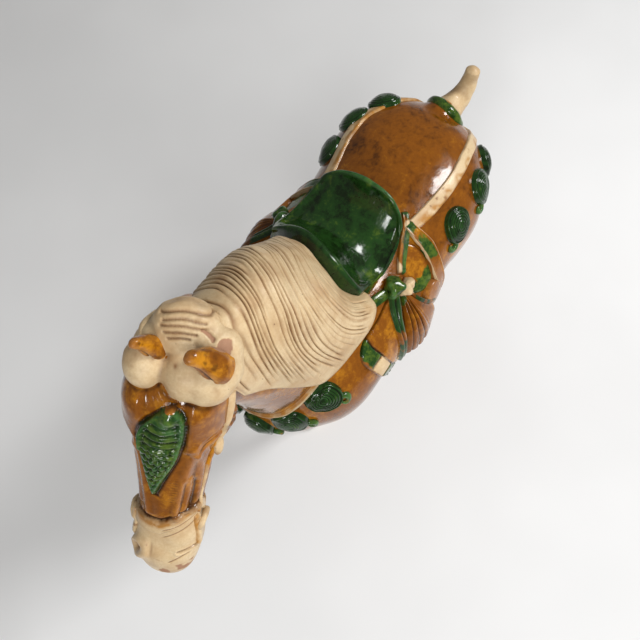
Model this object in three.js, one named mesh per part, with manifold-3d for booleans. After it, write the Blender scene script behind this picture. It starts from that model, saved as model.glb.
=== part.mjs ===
// A glazed earthenware horse in the three-colour manner, fired in one piece with its low plinth.
// Millimetres. X runs forward to the chest, Y to the horse's left, Z up from the plinth's underside.
import * as THREE from "three";
import { mergeVertices } from "three/addons/utils/BufferGeometryUtils.js";
import Module from "manifold-3d";

const wasm = await Module();
wasm.setup();

// Plinth: two long ends, half width, height and the bevel of its upper edge
const PLINTH = { back: -112, front: 84, halfWidth: 33, height: 11, edge: 2 };

// Trunk sections from rump to chest
// x, centre y, centre z, half width, rise to the back, drop to the belly
const TRUNK = [
  [-147, -1, 190, 6, 7, 6],
  [-143, -1, 190, 23, 20, 18],
  [-133, -1, 191, 41, 32, 28],
  [-115, -1, 192, 53, 42, 38],
  [-88, 2, 193, 59.5, 46, 43],
  [-48, 5, 193, 57.5, 44, 47],
  [-15, 4, 193, 60.5, 42, 50],
  [20, 3, 194, 62, 44, 52],
  [55, 2, 194, 60, 46, 52],
  [82, 2, 190, 52, 42, 46],
  [99, 2, 185, 37, 33, 34],
  [109, 2, 182, 19, 20, 22],
  [113, 2, 181, 6, 7, 8],
];
const TRUNK_PLACES = [-147, -145, -140, -132, -120, -102, -78, -52, -25, 3, 30, 54, 74, 89, 100, 108, 113];
const TRUNK_POWER = 2.25;
const TRUNK_SIDES = 20;

// Neck rings: crest point, throat point, half width
const NECK = [
  [[-6, 0, 240], [92, 0, 160], 44],
  [[10, 0, 268], [106, 0, 188], 41],
  [[24, 0, 290], [110, 0, 214], 36],
  [[38, 0, 312], [112, 0, 238], 30],
  [[56, 0, 329], [114, 0, 260], 26],
  [[78, -2, 337], [117, -1, 278], 21],
  [[97, -5, 340], [122, -4, 292], 17],
  [[110, -9, 338], [128, -8, 302], 13],
];
const NECK_POWER = 2.5;
const NECK_SIDES = 14;
const NECK_STEP = 0.875;

// Head: poll point, turn to the left, dip of the face and lean, in degrees
const POLL = [111, -9.5, 342.5];
const HEAD_TURN = 20;
const HEAD_DIP = 40;
const HEAD_LEAN = -5.6;

// Head sections along the face: distance, centre out of the face, half width, rise, drop
const HEAD = [
  [-11, -26, 5, 8, 8],
  [-7, -26, 10, 16, 16],
  [0, -26, 14, 26, 26],
  [15, -28, 21, 31, 33],
  [31, -27, 26.5, 31, 31],
  [46, -25, 27, 27, 29],
  [64, -22, 20, 22, 24],
  [86, -20, 15.5, 18, 19],
  [104, -20, 16.5, 15.5, 17],
  [121, -20, 18.5, 14, 17],
  [136, -21, 15, 12, 14],
  [145, -22, 10, 8, 9],
  [148, -22, 3, 3, 3],
];
const HEAD_PLACES = [-11, -6, 4, 16, 30, 43, 56, 70, 86, 102, 118, 131, 142, 148];
const HEAD_POWER = 2.2;
const HEAD_SIDES = 16;

// Legs from the hoof up: height, x, y, half length, half width
const FORELEG = [
  [6, 71, 19, 13, 11],
  [20, 70, 20, 11.5, 10.5],
  [30, 67, 20, 7.5, 7],
  [45, 66, 21, 6.5, 6],
  [72, 67, 23, 7, 6.5],
  [86, 68, 24, 9.5, 8.5],
  [104, 68, 26, 9, 8.5],
  [130, 69, 29, 14, 12],
  [155, 70, 31, 22, 17],
  [180, 68, 32, 25, 20],
];
const HINDLEG = [
  [6, -92, 19, 13, 11],
  [20, -93, 20, 11.5, 10.5],
  [30, -96, 20, 7.5, 7],
  [48, -99, 21, 7, 6.5],
  [72, -104, 22, 8, 7],
  [88, -108, 23, 11, 8.5],
  [104, -104, 25, 12, 9.5],
  [128, -94, 27, 18, 13],
  [155, -88, 31, 30, 20],
  [185, -88, 32, 36, 23],
];
const LEG_HEIGHTS = [6, 20, 30, 50, 72, 86, 98, 118, 145, 178];
const LEG_SIDES = 10;

// Tail: path from the rump out, radii along its tip, and the ring round the dock
const TAIL_PATH = [
  [-118, 0, 208],
  [-130, 1, 213],
  [-142, 3, 214],
  [-153, 6, 219],
  [-160, 7.5, 228],
  [-163, 7, 240],
];
const DOCK_RADIUS = 12.5;
const TIP_RADII = [11, 8.5, 6.5, 4, 2];
const TAIL_RING = { radius: 12, thickness: 3 };

// Ears: base, tip, half width and half thickness at the base
const EARS = [
  { base: [111, -11, 340], tip: [121, -19.5, 357], halfWidth: 8, halfDepth: 5 },
  { base: [107, 15, 334], tip: [112.5, 2.5, 357], halfWidth: 10, halfDepth: 6 },
];
const EAR_SHARES = [1, 1.05, 0.9, 0.42];

// Parted forelock and the cap behind it, in head measures: centre and half sizes
const FORELOCK = [
  { centre: [16, -9, -4], size: [12.5, 9.5, 8] },
  { centre: [15, 18, -10], size: [13.5, 14, 11] },
  { centre: [0, 4, -8], size: [12, 17, 11] },
];

// Mane: hair lines from the crest over to the left edge, front to back
const HAIR_LINES = [
  [[104, -18, 318], [108, -21, 330], [107, -7, 344], [110, 8, 340], [110, 17, 325], [109, 20, 305]],
  [[88, -19, 310], [88, -24, 324], [83, -12, 337], [86, 4, 342], [93, 16, 325], [98, 25, 286]],
  [[78, -20, 305], [75, -25, 320], [71, -11, 336], [75, 7, 340], [86, 22, 318], [88, 33, 266]],
  [[67, -21, 300], [62, -26, 315], [60, -9, 333], [70, 12, 334], [80, 27, 309], [77, 41, 251]],
  [[56, -21, 291], [50, -26, 305], [52, -7, 326], [65, 18, 327], [73, 32, 298], [64, 46, 242]],
  [[45, -22, 280], [38, -27, 294], [44, -5, 315], [58, 20, 317], [60, 36, 285], [47, 49, 239]],
  [[35, -22, 270], [28, -26, 284], [36, -4, 304], [50, 21, 308], [48, 39, 274], [29, 50, 238]],
  [[26, -20, 262], [21, -22, 277], [28, -3, 294], [41, 19, 299], [37, 38, 268], [12, 49, 238]],
];
const HAIR_DROPS = [0, 0.28, 0.55, 0.8, 1];
const MANE_DEPTH = 9;
const LOCKS_PER_LINE = 3;
const GROOVE_RELIEF = 0.9;

// Saddle arches from front to back: middle x, middle z, edge x, edge z, half width
const SADDLE = [
  [28, 250, 12, 226, 40],
  [21, 262, 7, 230, 42],
  [14, 270, 3, 234, 43],
  [7, 266, -1, 234, 43],
  [-3, 255, -6, 233, 43.5],
  [-14, 250, -11, 232, 44],
  [-26, 254, -17, 232, 43.5],
  [-34, 261, -22, 233, 43],
  [-38.5, 263, -25, 233, 42],
  [-41, 258, -28, 230, 41],
  [-42, 240, -29, 225, 40],
];
const SADDLE_SPANS = [-1, -0.8, -0.45, 0, 0.45, 0.8, 1];
const SADDLE_FALL = 2.1;
const SADDLE_UNDER = { length: 0.9, width: 0.8, height: 222 };

// Straps on the trunk: stations of x and the angle up from the side
const CRUPPER = [
  [-38, 66],
  [-66, 58],
  [-88, 55],
  [-104, 55],
  [-118, 58],
  [-130, 62],
  [-142, 52],
];
const BREAST_STRAP = [
  [52, 50],
  [72, 46],
  [88, 43],
  [99, 42],
  [107, 40],
  [112, 60],
];
const STRAP = { halfWidth: 3.4, rise: 1.6, sunk: 2, bevel: 0.85 };

// Medallions on the trunk: x, angle up from the side
const LEFT_MEDALLIONS = [[-72, 20], [-104, 9], [-127, 6], [77, 30], [97, 16], [109, -8]];
const RIGHT_MEDALLIONS = [[-68, 31], [-98, 25], [-125, 24], [77, 30], [97, 16], [109, -8]];
const MEDALLION = { radius: 7.6, rise: 3.4, lobes: 4, lobing: 0.1, sides: 8, sunk: 3 };
const DROP = { length: 15, curl: 5, radii: [3.6, 3, 1.8], sides: 5, turn: 100 };

// Knots, pleated fans, tied cloths and blanket corners: x and angle up from the side
const KNOT = { x: -2, angle: 38, radius: 6.5, out: 3, behind: 6, small: 0.85 };
const FAN = { top: [-4, 30], front: [26, -8], back: [-24, -12], pleats: 4, rise: 9, spread: 6, depth: 1.2 };
const FAN_DROPS = [0, 0.3, 0.65, 1];
const SWAG = [[-38, 62], [-40, 38], [-36, 22], [-27, 8], [-17, 12], [-8, 30], [-12, 45], [-26, 60]];
const BLANKET = [[46, 43], [30, 43], [20, 6], [36, 2]];
const PAD = { swag: 2.2, blanket: 2.2, sunk: 3, shoulder: 0.6, inner: 0.8 };

// Face, in head measures: forehead plaque, noseband, eyes, nostrils and cheek straps
const PLAQUE = { from: 25, to: 90, halfWidth: 11, drift: -5, rise: 3, ribs: 4, rib: 0.9, sunk: 7 };
const NOSEBAND = { from: 100, to: 106, rise: 1.3, edge: 0.6 };
const EYES = { along: 44, angle: 6, size: [7, 2.6, 4] };
const NOSTRILS = { along: 128, angle: 30, size: [6, 3.2, 3.6] };
const CHEEK_STRAP = [[20, 4], [34, 2], [50, 4], [66, 12], [84, 18], [101, 20]];
const CHEEK_RADIUS = 2.2;
const CHEEK_KNOB = { along: 57, angle: 7, size: [5.5, 3.6, 3.6] };

const UP = new THREE.Vector3(0, 0, 1);
const LEFT = new THREE.Vector3(0, 1, 0);
const FORWARD = new THREE.Vector3(1, 0, 0);
const { lerp, degToRad, clamp } = THREE.MathUtils;
const point = (xyz) => new THREE.Vector3(...xyz);

// Share of a section's half sizes across and up at an angle; power 2 is an ellipse, more is squarer.
function outline(angle, power) {
  const bend = (value) => Math.sign(value) * Math.abs(value) ** (2 / power);
  return [bend(Math.cos(angle)), bend(Math.sin(angle))];
}

// Ring of points round a centre.
function ring(centre, side, up, [halfWidth, rise, drop], count, power = 2) {
  const points = [];
  for (let i = 0; i < count; i++) {
    const [across, along] = outline((i / count) * 2 * Math.PI, power);
    const height = (along > 0 ? rise : drop) * along;
    const place = centre.clone().addScaledVector(side, halfWidth * across);
    points.push(place.addScaledVector(up, height));
  }
  return points;
}

// Values between rows of numbers by a smooth cubic; the first number of each row is its place.
function between(rows, place) {
  let k = 0;
  while (k < rows.length - 2 && rows[k + 1][0] <= place) k++;
  const [a, b] = [rows[k], rows[k + 1]];
  const before = rows[Math.max(k - 1, 0)];
  const after = rows[Math.min(k + 2, rows.length - 1)];
  const span = b[0] - a[0];
  const t = clamp((place - a[0]) / span, 0, 1);
  return a.map((value, i) => {
    const slopeA = ((b[i] - before[i]) / (b[0] - before[0])) * span;
    const slopeB = ((after[i] - a[i]) / (after[0] - a[0])) * span;
    const c = 3 * (b[i] - value) - 2 * slopeA - slopeB;
    const d = 2 * (value - b[i]) + slopeA + slopeB;
    return value + t * (slopeA + t * (c + t * d));
  });
}

// Closed skin over rings of equal count, each end drawn to its middle.
function skin(rings) {
  const count = rings[0].length;
  const middle = (points) =>
    points.reduce((sum, p) => sum.add(p), new THREE.Vector3()).divideScalar(points.length);
  const all = [...rings.flat(), middle(rings[0]), middle(rings.at(-1))];
  const first = all.length - 2;
  const last = all.length - 1;
  const index = [];
  for (let i = 0; i < count; i++) {
    const j = (i + 1) % count;
    for (let r = 0; r < rings.length - 1; r++) {
      const here = r * count;
      const next = here + count;
      index.push(here + i, here + j, next + j, here + i, next + j, next + i);
    }
    const end = (rings.length - 1) * count;
    index.push(first, j, i, last, end + i, end + j);
  }
  const geometry = new THREE.BufferGeometry().setFromPoints(all);
  geometry.setIndex(index);
  return geometry;
}

// Manifold solid of a closed geometry, turned outward if it was made inside out.
function solid(geometry) {
  const bare = geometry.clone();
  bare.deleteAttribute("normal");
  bare.deleteAttribute("uv");
  const merged = mergeVertices(bare, 1e-4);
  const vertProperties = new Float32Array(merged.attributes.position.array);
  const build = (triVerts) =>
    new wasm.Manifold(new wasm.Mesh({ numProp: 3, vertProperties, triVerts }));
  const triVerts = new Uint32Array(merged.index.array);
  const made = build(triVerts);
  return made.volume() > 0 ? made : build(triVerts.reverse());
}

function ellipsoid(centre, axes, size) {
  const ball = new THREE.SphereGeometry(1, 8, 5);
  const [a, b, c] = axes.map((axis, i) => axis.clone().multiplyScalar(size[i]));
  ball.applyMatrix4(new THREE.Matrix4().makeBasis(a, b, c).setPosition(centre));
  return ball;
}

// Round bar along points, its radius changing from one end to the other.
function bar(points, radii, sides) {
  const curve = new THREE.CatmullRomCurve3(points);
  const steps = points.length - 1;
  const frames = curve.computeFrenetFrames(steps, false);
  const rings = [];
  for (let i = 0; i <= steps; i++) {
    const place = (i / steps) * (radii.length - 1);
    const k = Math.min(Math.floor(place), radii.length - 2);
    const radius = lerp(radii[k], radii[k + 1], place - k);
    const centre = curve.getPointAt(i / steps);
    rings.push(ring(centre, frames.normals[i], frames.binormals[i], [radius, radius, radius], sides));
  }
  return skin(rings);
}

// Place and outward normal on a surface given by a function of a length and an angle.
function touch(surface, length, degrees, side) {
  const angle = degToRad(degrees);
  const nudge = 0.02;
  const lengthwise = surface(length + 1, angle).sub(surface(length - 1, angle));
  const upward = surface(length, angle + nudge).sub(surface(length, angle - nudge));
  const normal = lengthwise.cross(upward).normalize().multiplyScalar(-side);
  return { place: surface(length, angle), normal };
}

function onTrunk(x, degrees, side) {
  const surface = (place, turn) => {
    const [, y, z, halfWidth, rise, drop] = between(TRUNK, place);
    const [across, along] = outline(turn, TRUNK_POWER);
    return point([place, y + side * halfWidth * across, z + (along > 0 ? rise : drop) * along]);
  };
  return touch(surface, x, degrees, side);
}

function trunk() {
  const rings = TRUNK_PLACES.map((x) => {
    const [, y, z, ...sizes] = between(TRUNK, x);
    return ring(point([x, y, z]), LEFT, UP, sizes, TRUNK_SIDES, TRUNK_POWER);
  });
  return skin(rings);
}

function neck() {
  const rows = NECK.map(([crest, throat, half], i) => [i, ...crest, ...throat, half]);
  const rings = [];
  for (let s = 0; s <= NECK.length - 1; s += NECK_STEP) {
    const [, cx, cy, cz, tx, ty, tz, half] = between(rows, s);
    const crest = point([cx, cy, cz]);
    const throat = point([tx, ty, tz]);
    const up = crest.clone().sub(throat);
    const depth = up.length() / 2;
    const centre = crest.lerp(throat, 0.5);
    rings.push(ring(centre, LEFT, up.normalize(), [half, depth, depth], NECK_SIDES, NECK_POWER));
  }
  return skin(rings);
}

// Axes of the head: along the face, to its left, and out of the face.
function headAxes() {
  const turn = degToRad(HEAD_TURN);
  const dip = degToRad(HEAD_DIP);
  const lean = degToRad(HEAD_LEAN);
  const forward = new THREE.Vector3(Math.cos(turn), Math.sin(turn), 0);
  const sideways = new THREE.Vector3(-Math.sin(turn), Math.cos(turn), 0);
  const along = forward.clone().multiplyScalar(Math.cos(dip)).addScaledVector(UP, -Math.sin(dip));
  const out = forward.clone().multiplyScalar(Math.sin(dip)).addScaledVector(UP, Math.cos(dip));
  const left = sideways.clone().multiplyScalar(Math.cos(lean)).addScaledVector(out, Math.sin(lean));
  const face = out.multiplyScalar(Math.cos(lean)).addScaledVector(sideways, -Math.sin(lean));
  return [along, left, face];
}

const HEAD_AXES = headAxes();

// A place in head measures: along the face, to its left, out of it.
function inHead(...measures) {
  const place = point(POLL);
  HEAD_AXES.forEach((axis, i) => place.addScaledVector(axis, measures[i]));
  return place;
}

function onHead(length, degrees, side) {
  const surface = (place, turn) => {
    const [, middle, halfWidth, rise, drop] = between(HEAD, place);
    const [across, along] = outline(turn, HEAD_POWER);
    return inHead(place, side * halfWidth * across, middle + (along > 0 ? rise : drop) * along);
  };
  return touch(surface, length, degrees, side);
}

// Height of the face out of the head axis, at a place along it and to its left.
function faceHeight(along, left) {
  const [, middle, halfWidth, rise] = between(HEAD, along);
  const share = Math.min(Math.abs(left) / halfWidth, 1);
  return middle + rise * (1 - share ** HEAD_POWER) ** (1 / HEAD_POWER);
}

function headRing(along, growth) {
  const [, middle, ...sizes] = between(HEAD, along);
  const [, left, face] = HEAD_AXES;
  const grown = sizes.map((size) => size + growth);
  return ring(inHead(along, 0, middle), left, face, grown, HEAD_SIDES, HEAD_POWER);
}

// Leaf-shaped ear, widest just above its root.
function ear({ base, tip, halfWidth, halfDepth }) {
  const start = point(base);
  const axis = point(tip).sub(start);
  const across = axis.clone().cross(HEAD_AXES[0]).normalize();
  const back = across.clone().cross(axis).normalize();
  const rings = EAR_SHARES.map((share, i) => {
    const centre = start.clone().addScaledVector(axis, i / (EAR_SHARES.length - 1));
    const sizes = [halfWidth, halfDepth, halfDepth].map((size) => size * share);
    return ring(centre, across, back, sizes, 8);
  });
  return skin(rings);
}

function leg(rows, side) {
  const rings = LEG_HEIGHTS.map((z) => {
    const [, x, y, halfLength, halfWidth] = between(rows, z);
    const sizes = [halfLength, halfWidth, halfWidth];
    return ring(point([x, side * y, z]), FORWARD, LEFT, sizes, LEG_SIDES);
  });
  return skin(rings);
}

function tail() {
  const path = TAIL_PATH.map(point);
  const dock = bar(path.slice(0, 3), [DOCK_RADIUS, DOCK_RADIUS], 12);
  const tip = bar(path.slice(1), TIP_RADII, 10);
  const band = new THREE.TorusGeometry(TAIL_RING.radius, TAIL_RING.thickness, 5, 12);
  const along = path[3].clone().sub(path[1]).normalize();
  band.applyQuaternion(new THREE.Quaternion().setFromUnitVectors(UP, along));
  band.translate(...TAIL_PATH[2]);
  return [dock, tip, band];
}

// Sheet of combed hair, alternately raised and grooved, with a backing sunk into the neck.
function mane() {
  const lines = HAIR_LINES.map((line) => new THREE.CatmullRomCurve3(line.map(point)));
  const threads = HAIR_DROPS.map(
    (drop) => new THREE.CatmullRomCurve3(lines.map((line) => line.getPoint(drop))),
  );
  const [crest, throat] = NECK[3];
  const core = point(crest).lerp(point(throat), 0.5);
  const columns = (HAIR_LINES.length - 1) * LOCKS_PER_LINE * 2;
  const rings = [];
  for (let c = 0; c <= columns; c++) {
    const lock = threads.map((thread) => thread.getPoint(c / columns));
    const relief = c % 2 ? -GROOVE_RELIEF : GROOVE_RELIEF;
    const sink = (depth) =>
      lock.map((p, i) => {
        const along = threads[i].getTangent(c / columns);
        const down = lock[Math.min(i + 1, lock.length - 1)].clone().sub(lock[Math.max(i - 1, 0)]);
        const normal = along.cross(down).normalize();
        const inward = Math.sign(normal.dot(core.clone().sub(p)));
        return p.clone().addScaledVector(normal, inward * depth);
      });
    rings.push([...sink(-relief), ...sink(MANE_DEPTH).reverse()]);
  }
  return skin(rings);
}

// Saddle seat between its raised front and its higher back.
function saddle() {
  const { length, width, height } = SADDLE_UNDER;
  const rings = SADDLE.map(([middleX, middleZ, edgeX, edgeZ, halfWidth]) => {
    const arch = SADDLE_SPANS.map((u) => {
      const fall = Math.abs(u) ** SADDLE_FALL;
      return point([lerp(middleX, edgeX, fall), 1 + halfWidth * u, lerp(middleZ, edgeZ, fall)]);
    });
    const inside = arch.map((p) => point([p.x * length, p.y * width, height]));
    return [...arch, ...inside.reverse()];
  });
  return skin(rings);
}

// Flat band through stations on the trunk.
function strap(stations, side) {
  const { halfWidth, rise, sunk, bevel } = STRAP;
  const touches = stations.map((station) => onTrunk(...station, side));
  const rings = touches.map(({ place, normal }, i) => {
    const before = touches[Math.max(i - 1, 0)].place;
    const after = touches[Math.min(i + 1, touches.length - 1)].place;
    const across = after.clone().sub(before).cross(normal).normalize();
    const corner = (u, v) => place.clone().addScaledVector(across, u).addScaledVector(normal, v);
    return [
      corner(-halfWidth, -sunk),
      corner(halfWidth, -sunk),
      corner(halfWidth * bevel, rise),
      corner(-halfWidth * bevel, rise),
    ];
  });
  return skin(rings);
}

// Low lobed dome with a curled drop below it.
function medallion([x, degrees], side) {
  const { place, normal } = onTrunk(x, degrees, side);
  const spin = new THREE.Quaternion().setFromAxisAngle(normal, degToRad(DROP.turn * side));
  const flat = FORWARD.clone().addScaledVector(normal, -normal.dot(FORWARD)).normalize();
  const a = flat.applyQuaternion(spin);
  const b = normal.clone().cross(a).normalize().multiplyScalar(side);
  const at = (u, v, height) =>
    place.clone().addScaledVector(a, u).addScaledVector(b, v).addScaledVector(normal, height);
  const { radius, rise, lobes, lobing, sides, sunk } = MEDALLION;
  const level = (share, height) =>
    Array.from({ length: sides }, (_, i) => {
      const angle = (i / sides) * 2 * Math.PI;
      const reach = radius * share * (1 + lobing * Math.cos(lobes * angle));
      return at(reach * Math.cos(angle), reach * Math.sin(angle), height);
    });
  const dome = skin([level(1, -sunk), level(1, rise * 0.3), level(0.55, rise)]);
  const drop = [0.25, 0.6, 1].map((t) => at(t * DROP.length, DROP.curl * t * t, 0.4));
  return [dome, bar(drop, DROP.radii, DROP.sides)];
}

// Pad over an outline on the trunk, raised in the middle.
function pad(stations, side, rise) {
  const centre = [0, 1].map(
    (i) => stations.reduce((sum, station) => sum + station[i], 0) / stations.length,
  );
  const level = (share, height) =>
    stations.map((station) => {
      const [x, degrees] = station.map((value, i) => lerp(centre[i], value, share));
      const { place, normal } = onTrunk(x, degrees, side);
      return place.addScaledVector(normal, height);
    });
  return skin([level(1, -PAD.sunk), level(1, rise * PAD.shoulder), level(PAD.inner, rise)]);
}

// Cloth gathered at the knot and opening downward in pleats.
function fan(side) {
  const { top, front, back, pleats, rise, spread, depth } = FAN;
  const across = pleats * 2;
  const rings = FAN_DROPS.map((drop) => {
    const outer = [];
    const under = [];
    for (let i = 0; i <= across; i++) {
      const u = i / across;
      const [x, degrees] = top.map((value, k) => lerp(value, lerp(front[k], back[k], u), drop));
      const { place, normal } = onTrunk(x + (0.5 - u) * spread, degrees, side);
      const swell = rise * (0.5 + 0.5 * Math.sin(drop * 2.2)) * (0.65 + 0.35 * Math.sin(u * Math.PI));
      const pleat = i % 2 ? depth * (0.3 + drop) : 0;
      outer.push(place.clone().addScaledVector(normal, swell - pleat));
      under.push(place.clone().addScaledVector(normal, -PAD.sunk));
    }
    return [...outer, ...under.reverse()];
  });
  return skin(rings);
}

function knot(side) {
  const { place, normal } = onTrunk(KNOT.x, KNOT.angle, side);
  const centre = place.addScaledVector(normal, KNOT.out);
  const second = centre.clone().addScaledVector(FORWARD, -KNOT.behind);
  const ball = (where, radius) => ellipsoid(where, [FORWARD, LEFT, UP], [radius, radius, radius]);
  return [ball(centre, KNOT.radius), ball(second, KNOT.radius * KNOT.small)];
}

// Plaque on the forehead: round at the top, ribbed across, drawn to a point.
function plaque() {
  const { from, to, halfWidth, drift, rise, ribs, rib, sunk } = PLAQUE;
  const steps = ribs * 4;
  const rings = [];
  for (let i = 0; i <= steps; i++) {
    const t = i / steps;
    const along = lerp(from, to, t);
    const half = 0.6 + halfWidth * Math.sin(Math.PI * t ** 0.62) ** 0.8;
    const groove = i % 2 && t < 0.5 ? rib : 0;
    const across = [-1, -0.6, 0.6, 1].map((u) => {
      const left = drift * t + u * half;
      const lift = rise * (1 - u * u * 0.8) * Math.min(1, 8 * (1 - t), 8 * t + 0.3) - groove;
      return inHead(along, left, faceHeight(along, left) + lift);
    });
    const under = across.map((p) => p.clone().addScaledVector(HEAD_AXES[2], -sunk)).reverse();
    rings.push([...across, ...under]);
  }
  return skin(rings);
}

function noseband() {
  const { from, to, rise, edge } = NOSEBAND;
  return skin([
    headRing(from - edge, -1),
    headRing(from, rise),
    headRing(to, rise),
    headRing(to + edge, -1),
  ]);
}

function faceSide(side) {
  const feature = ({ along, angle, size }) =>
    ellipsoid(onHead(along, angle, side).place, HEAD_AXES, size);
  const cheek = CHEEK_STRAP.map((station) => onHead(...station, side).place);
  return [
    feature(EYES),
    feature(NOSTRILS),
    feature(CHEEK_KNOB),
    bar(cheek, [CHEEK_RADIUS, CHEEK_RADIUS], 5),
  ];
}

function plinth() {
  const { back, front, halfWidth, height, edge } = PLINTH;
  const level = (inset, z) => [
    point([back + inset, -halfWidth + inset, z]),
    point([front - inset, -halfWidth + inset, z]),
    point([front - inset, halfWidth - inset, z]),
    point([back + inset, halfWidth - inset, z]),
  ];
  return skin([level(0, 0), level(0, height - edge), level(edge, height)]);
}

function trappings(side, medallions) {
  return [
    strap(CRUPPER, side),
    strap(BREAST_STRAP, side),
    ...medallions.flatMap((place) => medallion(place, side)),
    pad(SWAG, side, PAD.swag),
    pad(BLANKET, side, PAD.blanket),
    fan(side),
    ...knot(side),
  ];
}

const sides = [1, -1];
const forms = [
  trunk(),
  neck(),
  skin(HEAD_PLACES.map((along) => headRing(along, 0))),
  ...FORELOCK.map(({ centre, size }) => ellipsoid(inHead(...centre), HEAD_AXES, size)),
  ...EARS.map(ear),
  mane(),
  saddle(),
  ...tail(),
  plaque(),
  noseband(),
  ...sides.flatMap(faceSide),
  ...sides.flatMap((side) => [leg(FORELEG, side), leg(HINDLEG, side)]),
  ...trappings(1, LEFT_MEDALLIONS),
  ...trappings(-1, RIGHT_MEDALLIONS),
  plinth(),
];
const whole = forms.map(solid).reduce((sum, next) => sum.add(next));

function meshOf(name, manifold, look) {
  const { vertProperties, triVerts } = manifold.getMesh();
  const geometry = new THREE.BufferGeometry();
  geometry.setAttribute("position", new THREE.BufferAttribute(vertProperties, 3));
  geometry.setIndex(new THREE.BufferAttribute(triVerts, 1));
  geometry.computeVertexNormals();
  const mesh = new THREE.Mesh(geometry, new THREE.MeshStandardMaterial(look));
  mesh.name = name;
  return mesh;
}

const figure = new THREE.Group();
figure.add(meshOf("horse", whole, { color: 0xa5642a, roughness: 0.25, metalness: 0 }));

export default figure;
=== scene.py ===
"""Glazed earthenware horse on a plinth, in the three-colour manner.

Sizes in the code are millimetres in the frame: X forward, Y to the horse's left, Z up.
"""

import math

import bpy
import numpy as np
from mathutils import Matrix, Vector
from mathutils.bvhtree import BVHTree


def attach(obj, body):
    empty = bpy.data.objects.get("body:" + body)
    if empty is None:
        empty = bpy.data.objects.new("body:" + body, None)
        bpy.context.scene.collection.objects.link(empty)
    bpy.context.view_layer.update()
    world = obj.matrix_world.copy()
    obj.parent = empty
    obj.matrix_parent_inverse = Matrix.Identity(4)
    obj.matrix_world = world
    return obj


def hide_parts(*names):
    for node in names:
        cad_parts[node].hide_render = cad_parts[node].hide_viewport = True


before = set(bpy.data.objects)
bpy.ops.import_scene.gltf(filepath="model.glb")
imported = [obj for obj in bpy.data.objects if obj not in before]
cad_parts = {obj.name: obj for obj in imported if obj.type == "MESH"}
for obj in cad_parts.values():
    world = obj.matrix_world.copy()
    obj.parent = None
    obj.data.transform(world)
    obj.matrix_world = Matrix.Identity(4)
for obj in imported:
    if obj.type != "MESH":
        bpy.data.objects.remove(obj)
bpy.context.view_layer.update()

bl_info = {
    "name": "Glazed Horse",
    "version": (1, 0, 0),
    "blender": (4, 5, 0),
    "location": "View3D > Sidebar > Horse",
    "description": "Builds a glazed earthenware horse on its plinth",
    "category": "Add Mesh",
}

MM = 0.001
TURN = 2 * np.pi
UP = np.array([0.0, 0.0, 1.0])
FORWARD = np.array([1.0, 0.0, 0.0])
LEFT = np.array([0.0, 1.0, 0.0])

# Trunk: x, centre y, centre z, half width, rise to the back, drop to the belly
TRUNK = [
    [-147, 0, 190, 6, 7, 6], [-143, 0, 190, 22, 20, 18], [-133, 0, 191, 39, 31, 28],
    [-115, 0.5, 192, 51, 41, 38], [-88, 3, 193, 58, 45, 43], [-48, 5.5, 193, 57, 44, 47],
    [-15, 4, 193, 60.5, 42, 50], [20, 3, 194, 62, 44, 52], [55, 2, 194, 60, 46, 52],
    [82, 2, 190, 52, 42, 46], [99, 2, 185, 37, 33, 34], [109, 2, 182, 19, 20, 22],
    [113, 2, 181, 6, 7, 8],
]
TRUNK_POWER = 2.25

# Neck rings: crest point, throat point, half width
NECK = [
    [4, 0, 232, 92, 0, 160, 42], [18, 0, 252, 106, 0, 188, 40],
    [32, 0, 281, 110, 0, 214, 35], [43, 0, 308, 112, 0, 238, 30],
    [56, 0, 329, 114, 0, 260, 26], [78, -2, 337, 117, -1, 278, 21],
    [97, -5, 340, 122, -4, 292, 17], [110, -9, 338, 128, -8, 302, 13],
]
NECK_POWER = 2.5

# Head: poll point, turn to the left, dip of the face and lean in degrees
POLL = np.array([111, -9.5, 342.5])
HEAD_TURN, HEAD_DIP, HEAD_LEAN = 20, 40, -5.6
# Sections along the face: distance, centre out of the face, half width, rise, drop
HEAD = [
    [-11, -26, 5, 8, 8], [-7, -26, 10, 16, 16], [0, -26, 14, 26, 26], [15, -28, 20, 31, 33],
    [31, -27, 23.4, 31, 31], [46, -25, 23.6, 27, 29], [64, -22, 18.6, 22, 24],
    [86, -20, 15.2, 18, 19], [104, -20, 16, 15.5, 17], [121, -20.5, 17.6, 14, 16.5],
    [136, -21, 15, 12, 14], [145, -22, 10, 8, 9], [148, -22, 3, 3, 3],
]
HEAD_POWER, BROW_POWER = 2.2, 2.6

# Legs from the hoof up: height, x, y, half length, half width
FORELEG = [
    [6, 72, 19, 13.5, 11.5], [13, 71, 19, 12.5, 11], [19, 70, 20, 10.5, 9.5],
    [22, 69, 20, 8.3, 7.8], [30, 67, 20, 8.2, 7.8], [34, 66, 20, 8.8, 8.2],
    [45, 66, 21, 6.5, 6], [72, 67, 23, 7, 6.5], [80, 68, 24, 8.8, 8],
    [90, 68.5, 24, 9.8, 8.8], [100, 68, 25, 8.6, 8], [130, 69, 29, 14, 12],
    [155, 70, 31, 22, 17], [180, 68, 32, 25, 20],
]
HINDLEG = [
    [6, -91, 19, 13.5, 11.5], [13, -92, 19, 12.5, 11], [19, -93, 20, 10.5, 9.5],
    [22, -94.5, 20, 8.3, 7.8], [30, -96, 20, 8.2, 7.8], [34, -97, 20, 8.8, 8.2],
    [48, -99, 21, 7, 6.5], [72, -104, 22, 8, 7], [82, -107, 23, 10.5, 8.2],
    [90, -108.5, 23, 11.5, 8.7], [104, -104, 25, 12, 9.5], [128, -94, 27, 18, 13],
    [155, -88, 31, 30, 20], [185, -88, 32, 36, 23],
]
LEG_POWER = 2.3
HOOF_HEIGHT, PASTERN_HEIGHT = 17, 24

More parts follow.
